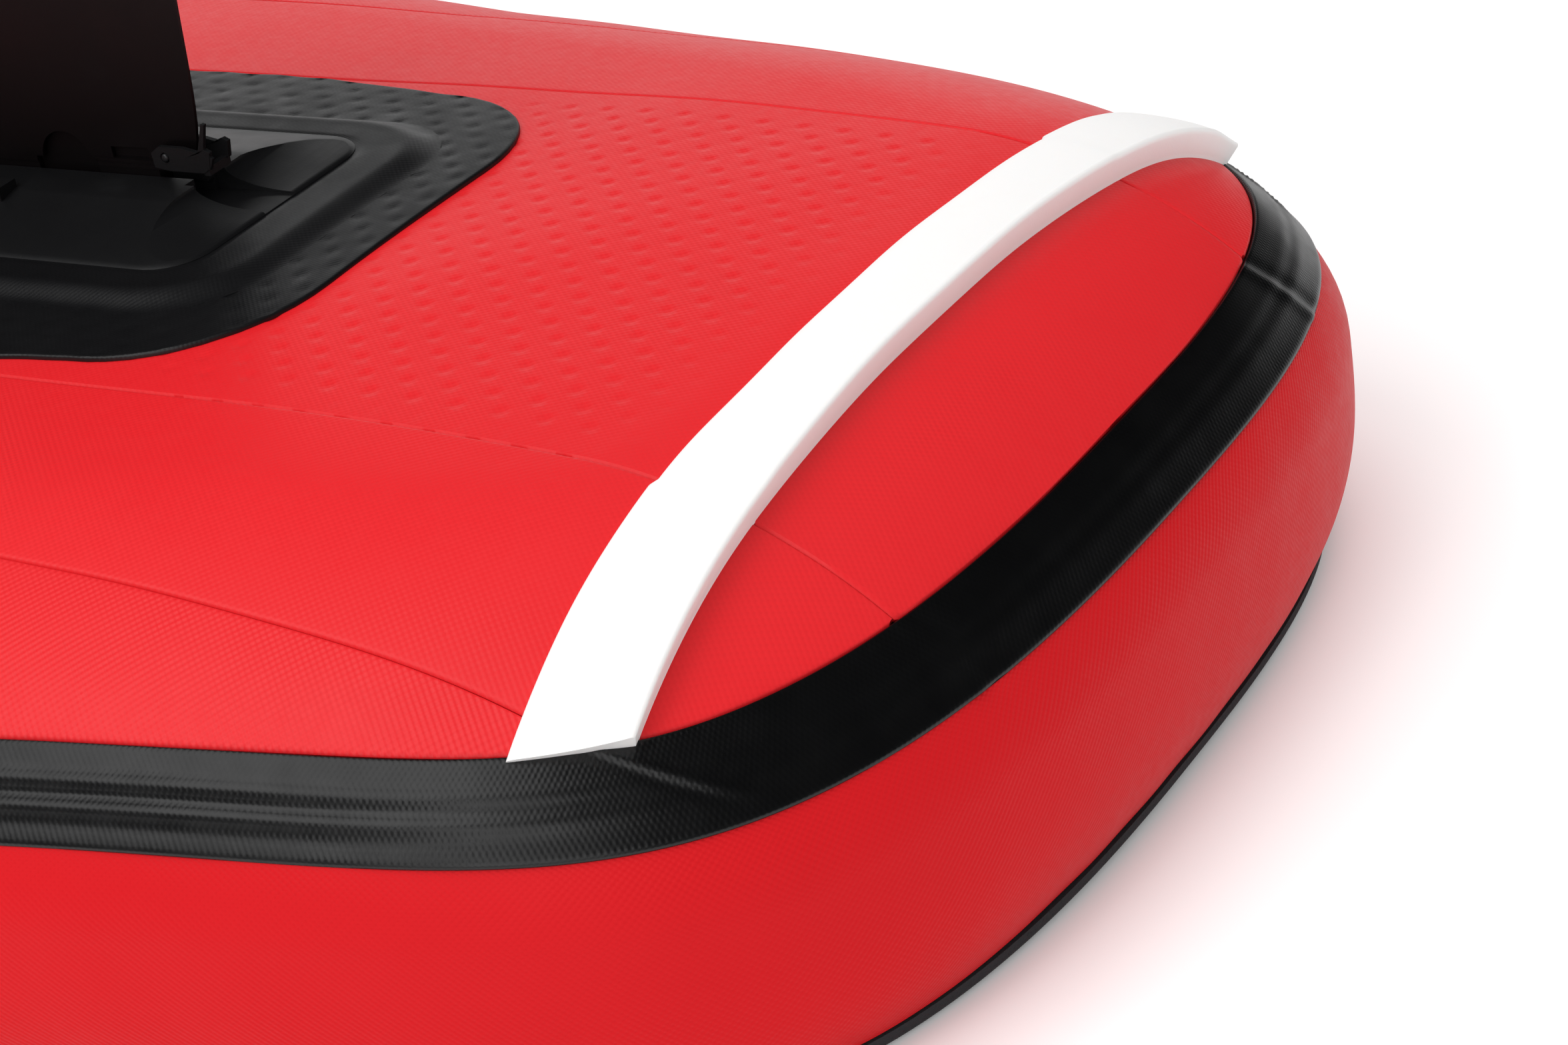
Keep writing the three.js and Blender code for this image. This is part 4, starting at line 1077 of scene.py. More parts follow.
def deck_pad():
    """Foam deck pad: a grooved field inside a plain bevelled border."""
    field = PAD_INSET + PAD_BORDER
    hole_ends = [x for hole in PAD_HOLES for x in hole[:2]]
    stops = sorted({-0.05, -0.1, *hole_ends, -PAD_FRONT + PAD_BORDER}, reverse=True)
    xs = rows_of_x(-field - 0.0005, *stops)
    columns = {0.0}
    for k in range(1, GROOVES_PER_SIDE + 1):
        middle = (k - 0.5) * GROOVE_SPACING
        columns |= {middle - GROOVE_HALF - GROOVE_FLANK, middle - GROOVE_HALF, middle + GROOVE_HALF,
                    middle + GROOVE_HALF + GROOVE_FLANK, middle + GROOVE_SPACING / 2}
    columns |= {h[2] for h in PAD_HOLES}
    columns = np.array(sorted(columns | {-c for c in columns}))
    limit = inset_limit(field, xs)[:, None]
    ys = np.clip(columns[None, :], -limit, limit)
    phase = np.abs((np.abs(ys) / GROOVE_SPACING) % 1 - 0.5) * GROOVE_SPACING
    groove = GROOVE_DEPTH * (1 - smooth(GROOVE_HALF, GROOVE_HALF + GROOVE_FLANK, phase))
    top = deck_points(xs[:, None] + 0 * ys, ys, GAP)
    bottom = deck_points(xs[:, None] + 0 * ys, ys, 0)
    bottom[..., 2] -= PAD_THICKNESS - groove
    middle_x = (xs[:-1] + xs[1:])[:, None] / 2
    middle_y = np.abs(columns[:-1] + columns[1:])[None, :] / 2
    keep = np.abs(ys[:-1, 1:] - ys[:-1, :-1]) + np.abs(ys[1:, 1:] - ys[1:, :-1]) > 0.0002
    for low, high, half in PAD_HOLES:
        keep &= ~((middle_x > low) & (middle_x < high) & (middle_y < half))
    shell = closed_sheet(Shell(), bottom, top, keep=keep)
    side = side_outline([(2.6, 0.006)])
    last = int(np.argmax(-side["x"] > PAD_FRONT))
    loop = {k: np.concatenate([sign * side[k][last:0:-1], side[k][:last]])
            for k, sign in (("x", 1), ("nx", 1), ("y", -1), ("ny", -1))}
    inset = np.array([field - 0.0006, field - 0.001, PAD_INSET + 0.003, PAD_INSET + 0.001, PAD_INSET])
    drop = np.array([0.004, PAD_THICKNESS, PAD_THICKNESS, PAD_THICKNESS - 0.0006, PAD_THICKNESS - 0.0022])
    x = loop["x"][:, None] - loop["nx"][:, None] * inset
    y = loop["y"][:, None] - loop["ny"][:, None] * inset
    border = deck_points(x, y, 0)
    border[..., 2] -= drop
    closed_sheet(shell, border, deck_points(x, y, GAP))
    pad = make("deck_foam_pad", in_row(shell), [FOAM_DARK], "board", "deck_pad", weld=2e-6)


KICK_U = (0.062, 0.165)
KICK_HALF = 0.15
KICK_CORNER = 0.012
KICK_RIB = 0.0012
KICK_RIB_SPACING = 0.0103


def kick_pad():
    """Arched foam foot block under the tail, flat where it meets the floor, ribbed across."""
    floor_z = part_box("kick_pad")[0].z
    xs = np.concatenate([[0, 0.02, 0.06], np.linspace(0.1, 0.9, 41), [0.94, 0.98, 1]])
    ys = np.concatenate([[0, 0.008, 0.02], np.linspace(0.04, 0.96, 40), [0.98, 0.992, 1]])
    share_x, share_y = np.meshgrid(xs, ys, indexing="ij")
    corner = KICK_CORNER * (np.abs(2 * share_x - 1) ** 14)
    y = (2 * share_y - 1) * (KICK_HALF - corner)
    x = -KICK_U[0] - (KICK_U[1] - KICK_U[0]) * share_x
    from_end = np.minimum(share_x, 1 - share_x) * (KICK_U[1] - KICK_U[0])
    from_edge = np.minimum(from_end, np.minimum(share_y, 1 - share_y) * 2 * KICK_HALF)
    top = to_row(deck_points(x, y, PAD_THICKNESS + GAP))
    lift = edge_roll(from_edge, 0.004)
    rib = KICK_RIB * smooth(0.3, 0.8, np.cos(math.tau * (x + KICK_U[0]) / KICK_RIB_SPACING))
    rib = rib * smooth(0.004, 0.008, from_edge)
    base = top.copy()
    base[..., 2] = floor_z + lift + rib
    shell = closed_sheet(Shell(), base, top, np.stack([x, y], axis=-1))
    pad = make("kick_foam_pad", shell, [FOAM_DARK], "board", "kick_pad")


# ---- White water release edge -------------------------------------------
EDGE_FRONT = 0.1149
EDGE_WIDTH = 0.0290
EDGE_BOW = (0.0024, 0.0032)
EDGE_END_INSET = 0.0268
EDGE_LIP = 0.0026
EDGE_RISE = 0.0084


def release_edge():
    """The wedge strip across the tail: a thin front lip, a crowned top and a steep rear face."""
    spread = np.sin(np.linspace(-0.5, 0.5, 190) * math.pi)
    profile = [(0.0, 0.0001), (0.0, 0.0014), (0.015, 0.0021), (0.05, 0.0027)]
    profile += [(t, EDGE_LIP + EDGE_RISE * t**0.93) for t in np.linspace(0.1, 0.93, 14)]
    profile += [(0.965, 0.01085), (0.985, 0.01055), (0.997, 0.0099), (1.0, 0.0090)]
    profile += [(1.0, h) for h in (0.0075, 0.0055, 0.0035, 0.0018, 0.0001)]
    thin = 1 - 0.25 * smooth(0.90, 1.0, np.abs(spread))
    bow = EDGE_BOW[0] + EDGE_BOW[1] * smooth(0.15, 0.95, np.abs(spread))
    middle = EDGE_WIDTH / 2 - EDGE_FRONT
    y = spread * inset_limit(EDGE_END_INSET, middle)
    seam_step = 0.0006 * smooth(SEAMS[0] + 0.002, SEAMS[0] - 0.002, np.abs(y))
    jog = 0.0014 * smooth(SEAMS[0] - 0.001, SEAMS[0] + 0.001, np.abs(y))
    jog = jog + 0.0005 * ripple(y, 0 * y, 0.09, 31)
    back_wave = 0.0004 * ripple(y, 0 * y + 1, 0.12, 32)
    outer, places = [], []
    along = 0.0
    before = profile[0]
    for share, height in profile:
        along += math.hypot((share - before[0]) * EDGE_WIDTH, height - before[1])
        before = (share, height)
        x = bow - EDGE_FRONT + EDGE_WIDTH * share - jog * (1 - share) + back_wave * share
        y = spread * inset_limit(EDGE_END_INSET, float(x[0]))
        low_part = min(height, EDGE_LIP)
        grow = low_part + (height - low_part) * thin + seam_step * min(1.0, height / EDGE_LIP)
        points = [bottom_points(float(a), np.array([b]), c) for a, b, c in zip(x, y, grow)]
        outer.append(np.concatenate(points))
        places.append(np.stack([y, 0 * y + along], axis=-1))
    outer = np.stack(outer, axis=1)
    start, stop = outer[:, 0], outer[:, -1]
    inner = start[:, None] + (stop - start)[:, None] * np.linspace(0, 1, len(profile))[None, :, None]
    inner[..., 2] -= 0.0003
    shell = in_row(closed_sheet(Shell(), outer, inner, np.stack(places, axis=1)))
    make("release_edge", shell, [STRIP_WHITE], "board", "tail_release_edge", sharp=50)


# ---- Fin patch, mound and box -------------------------------------------
FIN_PATCH_U = (0.283, 0.735)
FIN_PATCH_HALF = 0.109
FIN_PATCH_FLARE = 0.009
FIN_PATCH_CORNER = 0.062
FLANGE_U = (0.307, 0.711)
FLANGE_HALF = 0.079
FLANGE_CORNER = 0.038
BOX_U = (0.337, 0.681)
BOX_HALF = 0.056
BOX_CORNER = 0.018
BOX_TOP_HALF = 0.020
BOX_TOP_INSET = 0.026
BOX_BASE = 0.0770
BOX_FLOOR = 0.079
BOX_LIP = 0.0838
BOX_TOP = 0.0874
CHANNEL_HALF = 0.0065
SLOT_HALF = 0.0034
CHANNEL_FRONT = 0.592
MOUTH_U = 0.370
SCOOP_LENGTH = 0.029
BOX_RIM = 0.0797
BOX_CUT_END = -0.300
POCKET_HALF = 0.0085
PATCH_SPACING = 0.003
MOUND_TOP = 0.0789


def on_bottom(outline, height, relief=0.0):
    """Plan outline raised over the flat part of the bottom skin, following its bow."""
    z = UPPER_HEIGHT - bend(outline[:, 0], outline[:, 1]) + height
    if relief:
        z = z - relief * pits(outline[:, 0], outline[:, 1])
    return np.column_stack([outline, z])


def fin_patch():
    """Rubber patch under the fin box, with the skin's pits showing through its margin."""
    outline = rounded_rectangle(-FIN_PATCH_U[1], -FIN_PATCH_U[0], FIN_PATCH_HALF, FIN_PATCH_CORNER)
    outline = resampled(outline, PATCH_SPACING)
    middle = sum(FIN_PATCH_U) / 2
    from_end = FIN_PATCH_U[1] - np.abs(outline[:, 0] + middle) - middle
    flare = FIN_PATCH_FLARE * np.clip((from_end - FIN_PATCH_CORNER) / 0.06, 0, 1)
    outline[:, 1] += np.sign(outline[:, 1]) * flare
    outline[:, 1] += 0.0004 * ripple(outline[:, 0], 0 * outline[:, 0], 0.03, 41)
    spine = (-FIN_PATCH_U[1] + FIN_PATCH_HALF, -FIN_PATCH_U[0] - FIN_PATCH_HALF)
    top = GAP + SKIN
    rings = [
        on_bottom(towards_spine(outline, 1.0, spine), -0.0002),
        on_bottom(outline, -0.0002),
        on_bottom(outline, top * 0.45),
        on_bottom(moved_in(outline, 0.0002), top * 0.8),
        on_bottom(moved_in(outline, 0.0006), top * 0.97),
    ]
    for share in np.linspace(0.012, 1.0, 60):
        drawn = towards_spine(outline, share, spine)
        rings.append(on_bottom(drawn, top, PIT_DEPTH * 0.9 if share < 0.4 else 0.0))
    shell = in_row(loft(Shell(), rings))
    make("fin_patch_sheet", shell, [PATCH_BLACK], "board", "fin_patch", weld=1e-6)


def mound():
    """The soft raised edge that the patch makes over the fin box's hidden flange."""
    outline = rounded_rectangle(-FLANGE_U[1], -FLANGE_U[0], FLANGE_HALF, FLANGE_CORNER)
    outline = resampled(outline, PATCH_SPACING)
    foot = resampled(rounded_rectangle(-BOX_U[1], -BOX_U[0], BOX_HALF, BOX_CORNER), PATCH_SPACING)
    count = len(outline)
    start = np.argmin(np.hypot(*(foot - outline[0]).T))
    wanted = np.arange(count) * len(foot) / count
    foot = np.roll(foot, -start, axis=0)
    foot = np.vstack([foot, foot[:1]])
    foot = np.stack([np.interp(wanted, np.arange(len(foot)), foot[:, k]) for k in (0, 1)], axis=-1)
    rings = []
    for share in np.linspace(0, 1, 26):
        plan = outline + share * (foot - outline)
        low = on_bottom(plan, GAP + SKIN)[:, 2]
        rise = smooth(0.0, 0.42, share)
        crest = 0.0001 * bump(share, 0.44, 0.10)
        dip = 0.0003 * smooth(0.88, 0.99, share)
        z = low + rise * (MOUND_TOP - dip - low) + crest
        rings.append(np.column_stack([plan, z]))
    under = [np.column_stack([r[:, :2], on_bottom(r[:, :2], 0.0005)[:, 2]]) for r in (rings[-1], rings[0])]
    shell = in_row(loft(Shell(), [*rings, *under], closed=True))
    make("fin_patch_mound", shell, [PATCH_BLACK], "board", "fin_box_flange", sharp=60)


def level(outline, height):
    """A plan outline as a ring at one height."""
    return np.column_stack([outline, np.full(len(outline), height)])


def fin_box():
    """Moulded fin box: sloped flanks, a T channel and slot along the top, and an open rear ramp."""
    foot = resampled(rounded_rectangle(-BOX_U[1], -BOX_U[0], BOX_HALF, BOX_CORNER), 0.004)
    top = rounded_rectangle(-BOX_U[1] + BOX_TOP_INSET, -BOX_U[0] - BOX_TOP_INSET, BOX_TOP_HALF, 0.008)
    top = resampled(top, 0.0005)
    middle = sum(BOX_U) / 2
    half_length = (BOX_U[1] - BOX_U[0]) / 2
    angle_foot = np.arctan2(foot[:, 1] / BOX_HALF, (foot[:, 0] + middle) / half_length)
    angle_top = np.arctan2(top[:, 1] / BOX_TOP_HALF, (top[:, 0] + middle) / half_length * 1.18)
    order = np.argsort(angle_top)
    columns = [np.interp(angle_foot, angle_top[order], top[order, k], period=math.tau) for k in (0, 1)]
    top = np.stack(columns, axis=-1)
    spine = (-BOX_U[1] + 0.06, -BOX_U[0] - 0.06)
    under = BOX_BASE - 0.0004
    edge_rise = 0.0029
    rings = [level(towards_spine(foot, 1.0, spine), under), level(foot, under)]
    for share, rise in ((0.0, 0.0018), (0.02, 0.0024), (0.06, edge_rise)):
        rings.append(level(foot + share * (top - foot), BOX_BASE + rise))
    for share in np.linspace(0.12, 0.94, 9):
        flank = (BOX_TOP - BOX_BASE - edge_rise) * ((share - 0.06) / 0.94) ** 0.92
        rings.append(level(foot + share * (top - foot), BOX_BASE + edge_rise + flank))
    rings += [level(top, BOX_TOP), level(towards_spine(top, 1.0, spine), BOX_TOP)]
    body = loft(Shell(), rings)
    channel = block((-CHANNEL_FRONT, -CHANNEL_HALF, BOX_FLOOR), (BOX_CUT_END, CHANNEL_HALF, BOX_LIP))
    slot = block((-CHANNEL_FRONT, -SLOT_HALF, BOX_FLOOR + 0.002), (BOX_CUT_END, SLOT_HALF, BOX_TOP + 0.005))
    pocket = block((-MOUTH_U, -POCKET_HALF, BOX_FLOOR), (BOX_CUT_END, POCKET_HALF, BOX_TOP + 0.004))
    turn = np.linspace(0, 1, 20) * math.pi / 2
    scoop_start = -BOX_U[0] - SCOOP_LENGTH
    curve_x = -BOX_U[0] - SCOOP_LENGTH * np.cos(turn)
    curve = np.stack([curve_x, BOX_TOP - (BOX_TOP - BOX_RIM) * np.sin(turn)], axis=-1)
    over = BOX_TOP + 0.004
    curve = np.vstack([[scoop_start, over], curve, [BOX_CUT_END, BOX_RIM], [BOX_CUT_END, over]])
    scoop = plate(curve, -0.07, 0.07)
    latch = block((-0.466, -0.0285, 0.0815), (-0.437, -0.0195, 0.0905))
    steps = [("DIFFERENCE", tool) for tool in (scoop, channel, slot, pocket)] + [("UNION", latch)]
    data = finish_mesh(move_to_row(combined(body, steps)), 30)
    piece = make("fin_box_body", data, [BOX_BLACK], "board", "fin_box")
    soften(piece, 0.0006, 3, 28)


def moved(data, move):
    """Moves every point of a finished mesh by a function."""
    points = np.zeros(len(data.vertices) * 3, np.float32)
    data.vertices.foreach_get("co", points)
    data.vertices.foreach_set("co", move(points.reshape(-1, 3)).astype(np.float32).ravel())
    data.update()
    return data


def move_to_row(data):
    """Moves a finished mesh from the board frame to the shared frame."""
    return moved(data, to_row)


# ---- Fin, clip and pin --------------------------------------------------
FIN_BASE_Z = 0.090
FIN_CURVES = (
    ((-0.371, 0.090), (-0.364, 0.104), (-0.364, 0.118), (-0.361, 0.152)),
    ((-0.361, 0.152), (-0.358, 0.190), (-0.340, 0.240), (-0.318, 0.296)),
    ((-0.318, 0.296), (-0.312, 0.314), (-0.322, 0.320), (-0.345, 0.312)),
    ((-0.345, 0.312), (-0.420, 0.284), (-0.500, 0.220), (-0.586, 0.090)),
)
FOOT_U = (0.385, 0.575)
BLADE_HALF = 0.0035
PIN_HOLE = 0.0019


def bezier(a, b, c, d, steps=80):
    t = np.linspace(0, 1, steps)[:, None]
    a, b, c, d = (np.array(p) for p in (a, b, c, d))
    return (1 - t) ** 3 * a + 3 * t * (1 - t) ** 2 * b + 3 * t**2 * (1 - t) * c + t**3 * d


def fin_blade():
    """The fin: a swept blade with a rounded leading edge and a fine trailing edge, on its foot."""
    curve = np.concatenate([bezier(*c) for c in FIN_CURVES])
    tip = int(np.argmax(curve[:, 1]))
    trailing, leading = curve[: tip + 1], curve[tip:][::-1]
    tip_z = curve[tip, 1]
    levels = FIN_BASE_Z + (tip_z - FIN_BASE_Z) * np.sin(np.linspace(0, 1, 64) * math.pi / 2)
    levels[-1] = tip_z - 0.00002
    chord = (1 - np.cos(np.linspace(0, math.pi, 44))) / 2
    nose = np.sqrt(1 - (1 - np.clip(chord / 0.16, 0, 1)) ** 2)
    tail = 1 - 0.80 * np.clip((chord - 0.62) / 0.38, 0, 1) ** 1.6
    rings = []
    for z in levels:
        back = np.interp(z, trailing[:, 1], trailing[:, 0])
        front = np.interp(z, leading[:, 1], leading[:, 0])
        height = (z - FIN_BASE_Z) / (tip_z - FIN_BASE_Z)
        half = BLADE_HALF * (1 - 0.5 * height) * math.sqrt(max(0.0, 1 - height**14)) * nose * tail
        x = front + (back - front) * chord
        near = np.column_stack([x, -half, np.full_like(x, z)])
        far = np.column_stack([x, half, np.full_like(x, z)])[::-1]
        rings.append(np.concatenate([near, far[:-1]]))
    for end in (0, -1):
        flat = rings[end].copy()
        flat[:, 1] = 0
        rings.insert(0 if end == 0 else len(rings), flat)
    blade = loft(Shell(), rings)
    web = block((-FOOT_U[1], -0.003, 0.083), (-FOOT_U[0], 0.003, FIN_BASE_Z + 0.003))
    foot = block((-FOOT_U[1], -0.006, BOX_FLOOR + 0.00035), (-FOOT_U[0], 0.006, BOX_LIP - 0.0004))
    skirt = block((-0.574, -0.00345, FIN_BASE_Z), (-0.374, 0.00345, FIN_BASE_Z + 0.0015))
    finger = across_rod(0.011, 0.02, -0.426, 0.091)
    lock_slot = block((-0.405, -0.006, 0.093), (-0.389, 0.006, 0.0972))
    pin_hole = across_rod(PIN_HOLE, 0.02, *CLIP_PIN_ON_BOARD)
    relief = block((-0.440, -0.004, BOX_LIP - 0.00035), (-0.412, 0.004, 0.092))
    steps = [("UNION", web), ("UNION", foot), ("UNION", skirt)]
    steps += [("DIFFERENCE", tool) for tool in (finger, lock_slot, pin_hole, relief)]
    thin_web = block((-0.442, -0.0008, BOX_LIP), (-0.386, 0.0008, 0.1045))
    steps += [("UNION", thin_web)]
    data = finish_mesh(move_to_row(combined(blade, steps)), 30)
    piece = make("fin_body", data, [FIN_BLACK], "fin", "fin")
    soften(piece, 0.0005, 2, 40)


def lock_clip():
    """The small hinged clip that locks the fin: two cheeks, a bridge, one slanted prong and a nub."""
    cheek = ((-0.3835, 0.0922), (-0.3770, 0.0912), (-0.3620, 0.0912), (-0.3590, 0.0930), (-0.3578, 0.0990),
             (-0.3600, 0.1000), (-0.3625, 0.0985), (-0.3700, 0.1000), (-0.3800, 0.1000), (-0.3838, 0.0975))
    prong = ((-0.3632, 0.0980), (-0.3608, 0.0976), (-0.3572, 0.1092), (-0.3584, 0.1095))
    nub = ((-0.3612, 0.0935), (-0.3590, 0.0925), (-0.3570, 0.0968), (-0.3582, 0.0975))
    parts = [
        plate(cheek, -0.0061, -0.0043),
        plate(cheek, 0.0043, 0.0061),
        plate(prong, -0.0060, -0.0045),
        plate(nub, -0.0059, -0.0046),
    ]
    bridge = block((-0.3622, -0.0058, 0.0903), (-0.3596, 0.0058, 0.0934))
    steps = [("UNION", part) for part in parts]
    steps += [("DIFFERENCE", across_rod(PIN_HOLE, 0.02, *CLIP_PIN_ON_BOARD))]
    data = finish_mesh(move_to_row(combined(bridge, steps)), 30)
    piece = make("fin_clip_body", data, [BOX_BLACK], "lock_clip", "fin_lock_clip")
    soften(piece, 0.0004, 3, 35)


def clip_pin_piece():
    """The clip's steel pin, with rounded ends."""
    half = 0.0067
    y = np.array([-half, -half + 0.0002, -half + 0.0006, half - 0.0006, half - 0.0002, half])
    radius = np.array([0.0007, 0.0012, 0.0015, 0.0015, 0.0012, 0.0007])
    path = np.column_stack([np.full(6, CLIP_PIN_ON_BOARD[0]), y, np.full(6, CLIP_PIN_ON_BOARD[1])])
    shell = in_row(tube(Shell(), path, radius, 32, up=(0, 0, 1)))
    make("fin_clip_pin_wire", shell, [DARK_STEEL], "fin", "fin_clip_pin", weld=1e-7)


# ---- Valve --------------------------------------------------------------
HUNG = np.array([1.0, -1.0, -1.0])


def hung(made, origin):
    """A shell or mesh with +Z outwards (down from the deck), placed at a point of the shared frame."""
    if not isinstance(made, Shell):
        return moved(made, lambda points: points * HUNG + origin)
    made.points = [p * HUNG + origin for p in made.points]
    made.faces = [f[::-1] for f in made.faces]
    return made


HOUSING_PROFILE = (
    (0.021, 0.0082), (0.0218, 0.009), (0.0276, 0.009), (0.0285, 0.0081), (0.0285, 0.0066),
    (0.0279, 0.006), (0.0243, 0.006), (0.0243, -0.0352), (0.0235, -0.036), (0.0035, -0.036),
    (0.0035, -0.033), (0.0202, -0.033), (0.021, -0.0322),
)
NUT_PROFILE = (
    (0.0247, -0.0102), (0.0305, -0.0102), (0.0307, -0.0108), (0.0307, -0.0194), (0.0301, -0.02),
    (0.0247, -0.02),
)
SEAL_PROFILE = (
    (0.0186, -0.0366), (0.0184, -0.0364), (0.0038, -0.0364), (0.0036, -0.0366), (0.0036, -0.0384),
    (0.0038, -0.0386), (0.0184, -0.0386), (0.0186, -0.0384),
)
STEM_PROFILE = (
    (0, -0.0044), (0.0030, -0.0043), (0.0058, -0.004), (0.0065, -0.0046), (0.0065, -0.0061),
    (0.0061, -0.0065), (0.003, -0.0065), (0.003, -0.039), (0.0176, -0.039), (0.018, -0.0394),
    (0.018, -0.0406), (0.0176, -0.041), (0, -0.041),
)
CAP_PROFILE = (
    (0.0, 0.0128), (0.012, 0.0128), (0.0135, 0.0132), (0.016, 0.0148), (0.0175, 0.015), (0.0236, 0.015),
    (0.0254, 0.0146), (0.0264, 0.0136), (0.0266, 0.0124), (0.0266, 0.0100), (0.0262, 0.0094), (0.0, 0.0094),
)
COLLAR_PROFILE = (
    (0.0289, 0.0064), (0.0291, 0.0062), (0.0308, 0.0062), (0.031, 0.0064), (0.031, 0.0084), (0.0308, 0.0086),
    (0.0291, 0.0086), (0.0289, 0.0084),
)
VENT_PLACE = 0.013
VENT_RADIUS = 0.004
SPRING_TURNS = 4
SPRING_RADIUS = 0.005
SPRING_WIRE = 0.0007
SPRING_ENDS = (-0.0316, -0.0082)


def valve():
    """Inflation valve: housing, clamp nut, seal, sprung stem, and a ribbed cap on its strap."""
    origin = to_row(deck_points(-VALVE_U, np.array([0.0]), 0.0))[0]
    vents = []
    for turn in circle(4):
        x, y = VENT_PLACE * math.cos(turn), VENT_PLACE * math.sin(turn)
        ends = [round_ring(circle(32), VENT_RADIUS, z, x, y) for z in (-0.045, -0.025)]
        vents.append(("DIFFERENCE", prism(*ends)))
    housing = finish_mesh(hung(combined(lathe(HOUSING_PROFILE), vents), origin))
    make("valve_body", housing, [VALVE_BLACK], "board", "valve_housing")

    angles = circle(144)
    ribs = 0.0008 * smooth(-0.2, 0.6, np.cos(24 * angles))
    rings = [round_ring(angles, r + (ribs if r > 0.0303 else 0), z) for r, z in NUT_PROFILE]
    nut = hung(loft(Shell(), rings, closed=True), origin)
    make("valve_clamp_ring", nut, [VALVE_BLACK], "board", "valve_clamp_nut")

    seal = hung(lathe(SEAL_PROFILE), origin)
    make("valve_seal_ring", seal, [RUBBER], "valve_stem", "valve_seal")
    stem = hung(lathe(STEM_PROFILE, closed=False), origin)
    make("valve_stem_poppet", stem, [VALVE_BLACK], "valve_stem", "valve_stem", weld=1e-7)

    share = np.linspace(0, 1, SPRING_TURNS * 40 + 1)
    height = SPRING_ENDS[0] + (SPRING_ENDS[1] - SPRING_ENDS[0]) * share
    path = round_ring(math.tau * SPRING_TURNS * share, SPRING_RADIUS, height)
    spring = hung(tube(Shell(), path, SPRING_WIRE, 12, up=(0, 0, 1)), origin)
    piece = make("valve_spring_wire", spring, [STEEL], "board", "valve_spring", weld=1e-7)
    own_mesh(piece)

    angles = circle(192)
    grips = 0.0004 - 0.0007 * smooth(0.0, 0.8, np.cos(32 * angles))
    rings = [round_ring(angles, r + (grips if r > 0.0258 else 0), z) for r, z in CAP_PROFILE]
    handle = block((-0.0115, -0.0016, 0.0115), (0.0115, 0.0016, 0.0150))
    lug = block((-0.033, -0.005, 0.0096), (-0.025, 0.005, 0.012))
    cap = combined(loft(Shell(), rings), [("UNION", handle), ("UNION", lug)])
    cap = finish_mesh(hung(cap, origin))
    piece = make("valve_cap_cover", cap, [VALVE_BLACK], "valve_cap", "valve_cap")
    soften(piece, 0.0003, 2, 40)

    tail = block((-0.037, -0.005, 0.0064), (-0.030, 0.005, 0.0084))
    tether = finish_mesh(hung(combined(lathe(COLLAR_PROFILE), [("UNION", tail)]), origin))
    piece = make("valve_cap_tether", tether, [RUBBER], "board", "valve_cap_strap")
    soften(piece, 0.0003, 2, 40)

    disc = round_patch(0.054, 0.0012, 0.0018, hole=0.0295)
    place_on_deck(disc, -VALVE_U, 0.0)
    make("valve_patch_ring", in_row(disc), [DECK_BLACK], "board", "valve_patch")


# ---- Patches, rings and webbing -----------------------------------------
def round_patch(radius, edge, center, hole=0.0):
    """A round glued patch. Heights are above the skin; a hole leaves a ring."""
    angles = circle(96)
    profile = [(radius, 0.0001), (radius, edge * 0.6)]
    profile += [(radius - 0.0004, edge * 0.92), (radius - 0.0010, edge)]
    for share in np.linspace(0.05, 0.95, 14):
        r = radius - 0.001 - (radius - 0.001 - hole) * share
        profile.append((r, edge + (center - edge) * float(smooth(0.25, 0.75, share))))
    profile.append((hole, center))
    if hole:
        profile.append((hole, 0.0001))
    else:
        profile.insert(0, (0.0, 0.0001))
    return loft(Shell(), [round_ring(angles, r, z) for r, z in profile], closed=bool(hole))


def place_on_deck(shell, x, y):
    """Lays a patch, made flat with +Z outwards, onto the deck at (x, y)."""
    for k, p in enumerate(shell.points):
        px, py = x + p[:, 0], y + p[:, 1]
        shell.points[k] = deck_points(px, py, 0) - np.column_stack([0 * px, 0 * px, p[:, 2]])
        shell.faces = [f[::-1] for f in shell.faces]


def stitches(shell, x_range, ys, z, out, look=1, pitch=0.0032):
    """Rows of sewn stitches along x on a flat tab. out is +1 or -1 along z."""
    count = max(2, int((x_range[1] - x_range[0]) / pitch))
    for y in ys:
        for k in range(count):
            start = x_range[0] + (x_range[1] - x_range[0]) * (k + 0.12) / count
            stop = x_range[0] + (x_range[1] - x_range[0]) * (k + 0.88) / count
            t = np.linspace(0, 1, 7)
            lift = 0.0004 * np.sin(t * math.pi) - 0.0001
            path = np.column_stack([start + (stop - start) * t, 0 * t + y, z + out * lift])
            tube(shell, path, 0.00028, 8, up=(0, 1, 0), look=look)


RING_DROP = 0.0103
RING_RISE = 0.0076
RING_HALF = 0.017
RING_WIRE = 0.004
RING_STRAIGHT = 0.006
LOOP_RADIUS = 0.00395
LOOP_THICKNESS = 0.0014
LOOP_WIDTH = 0.024


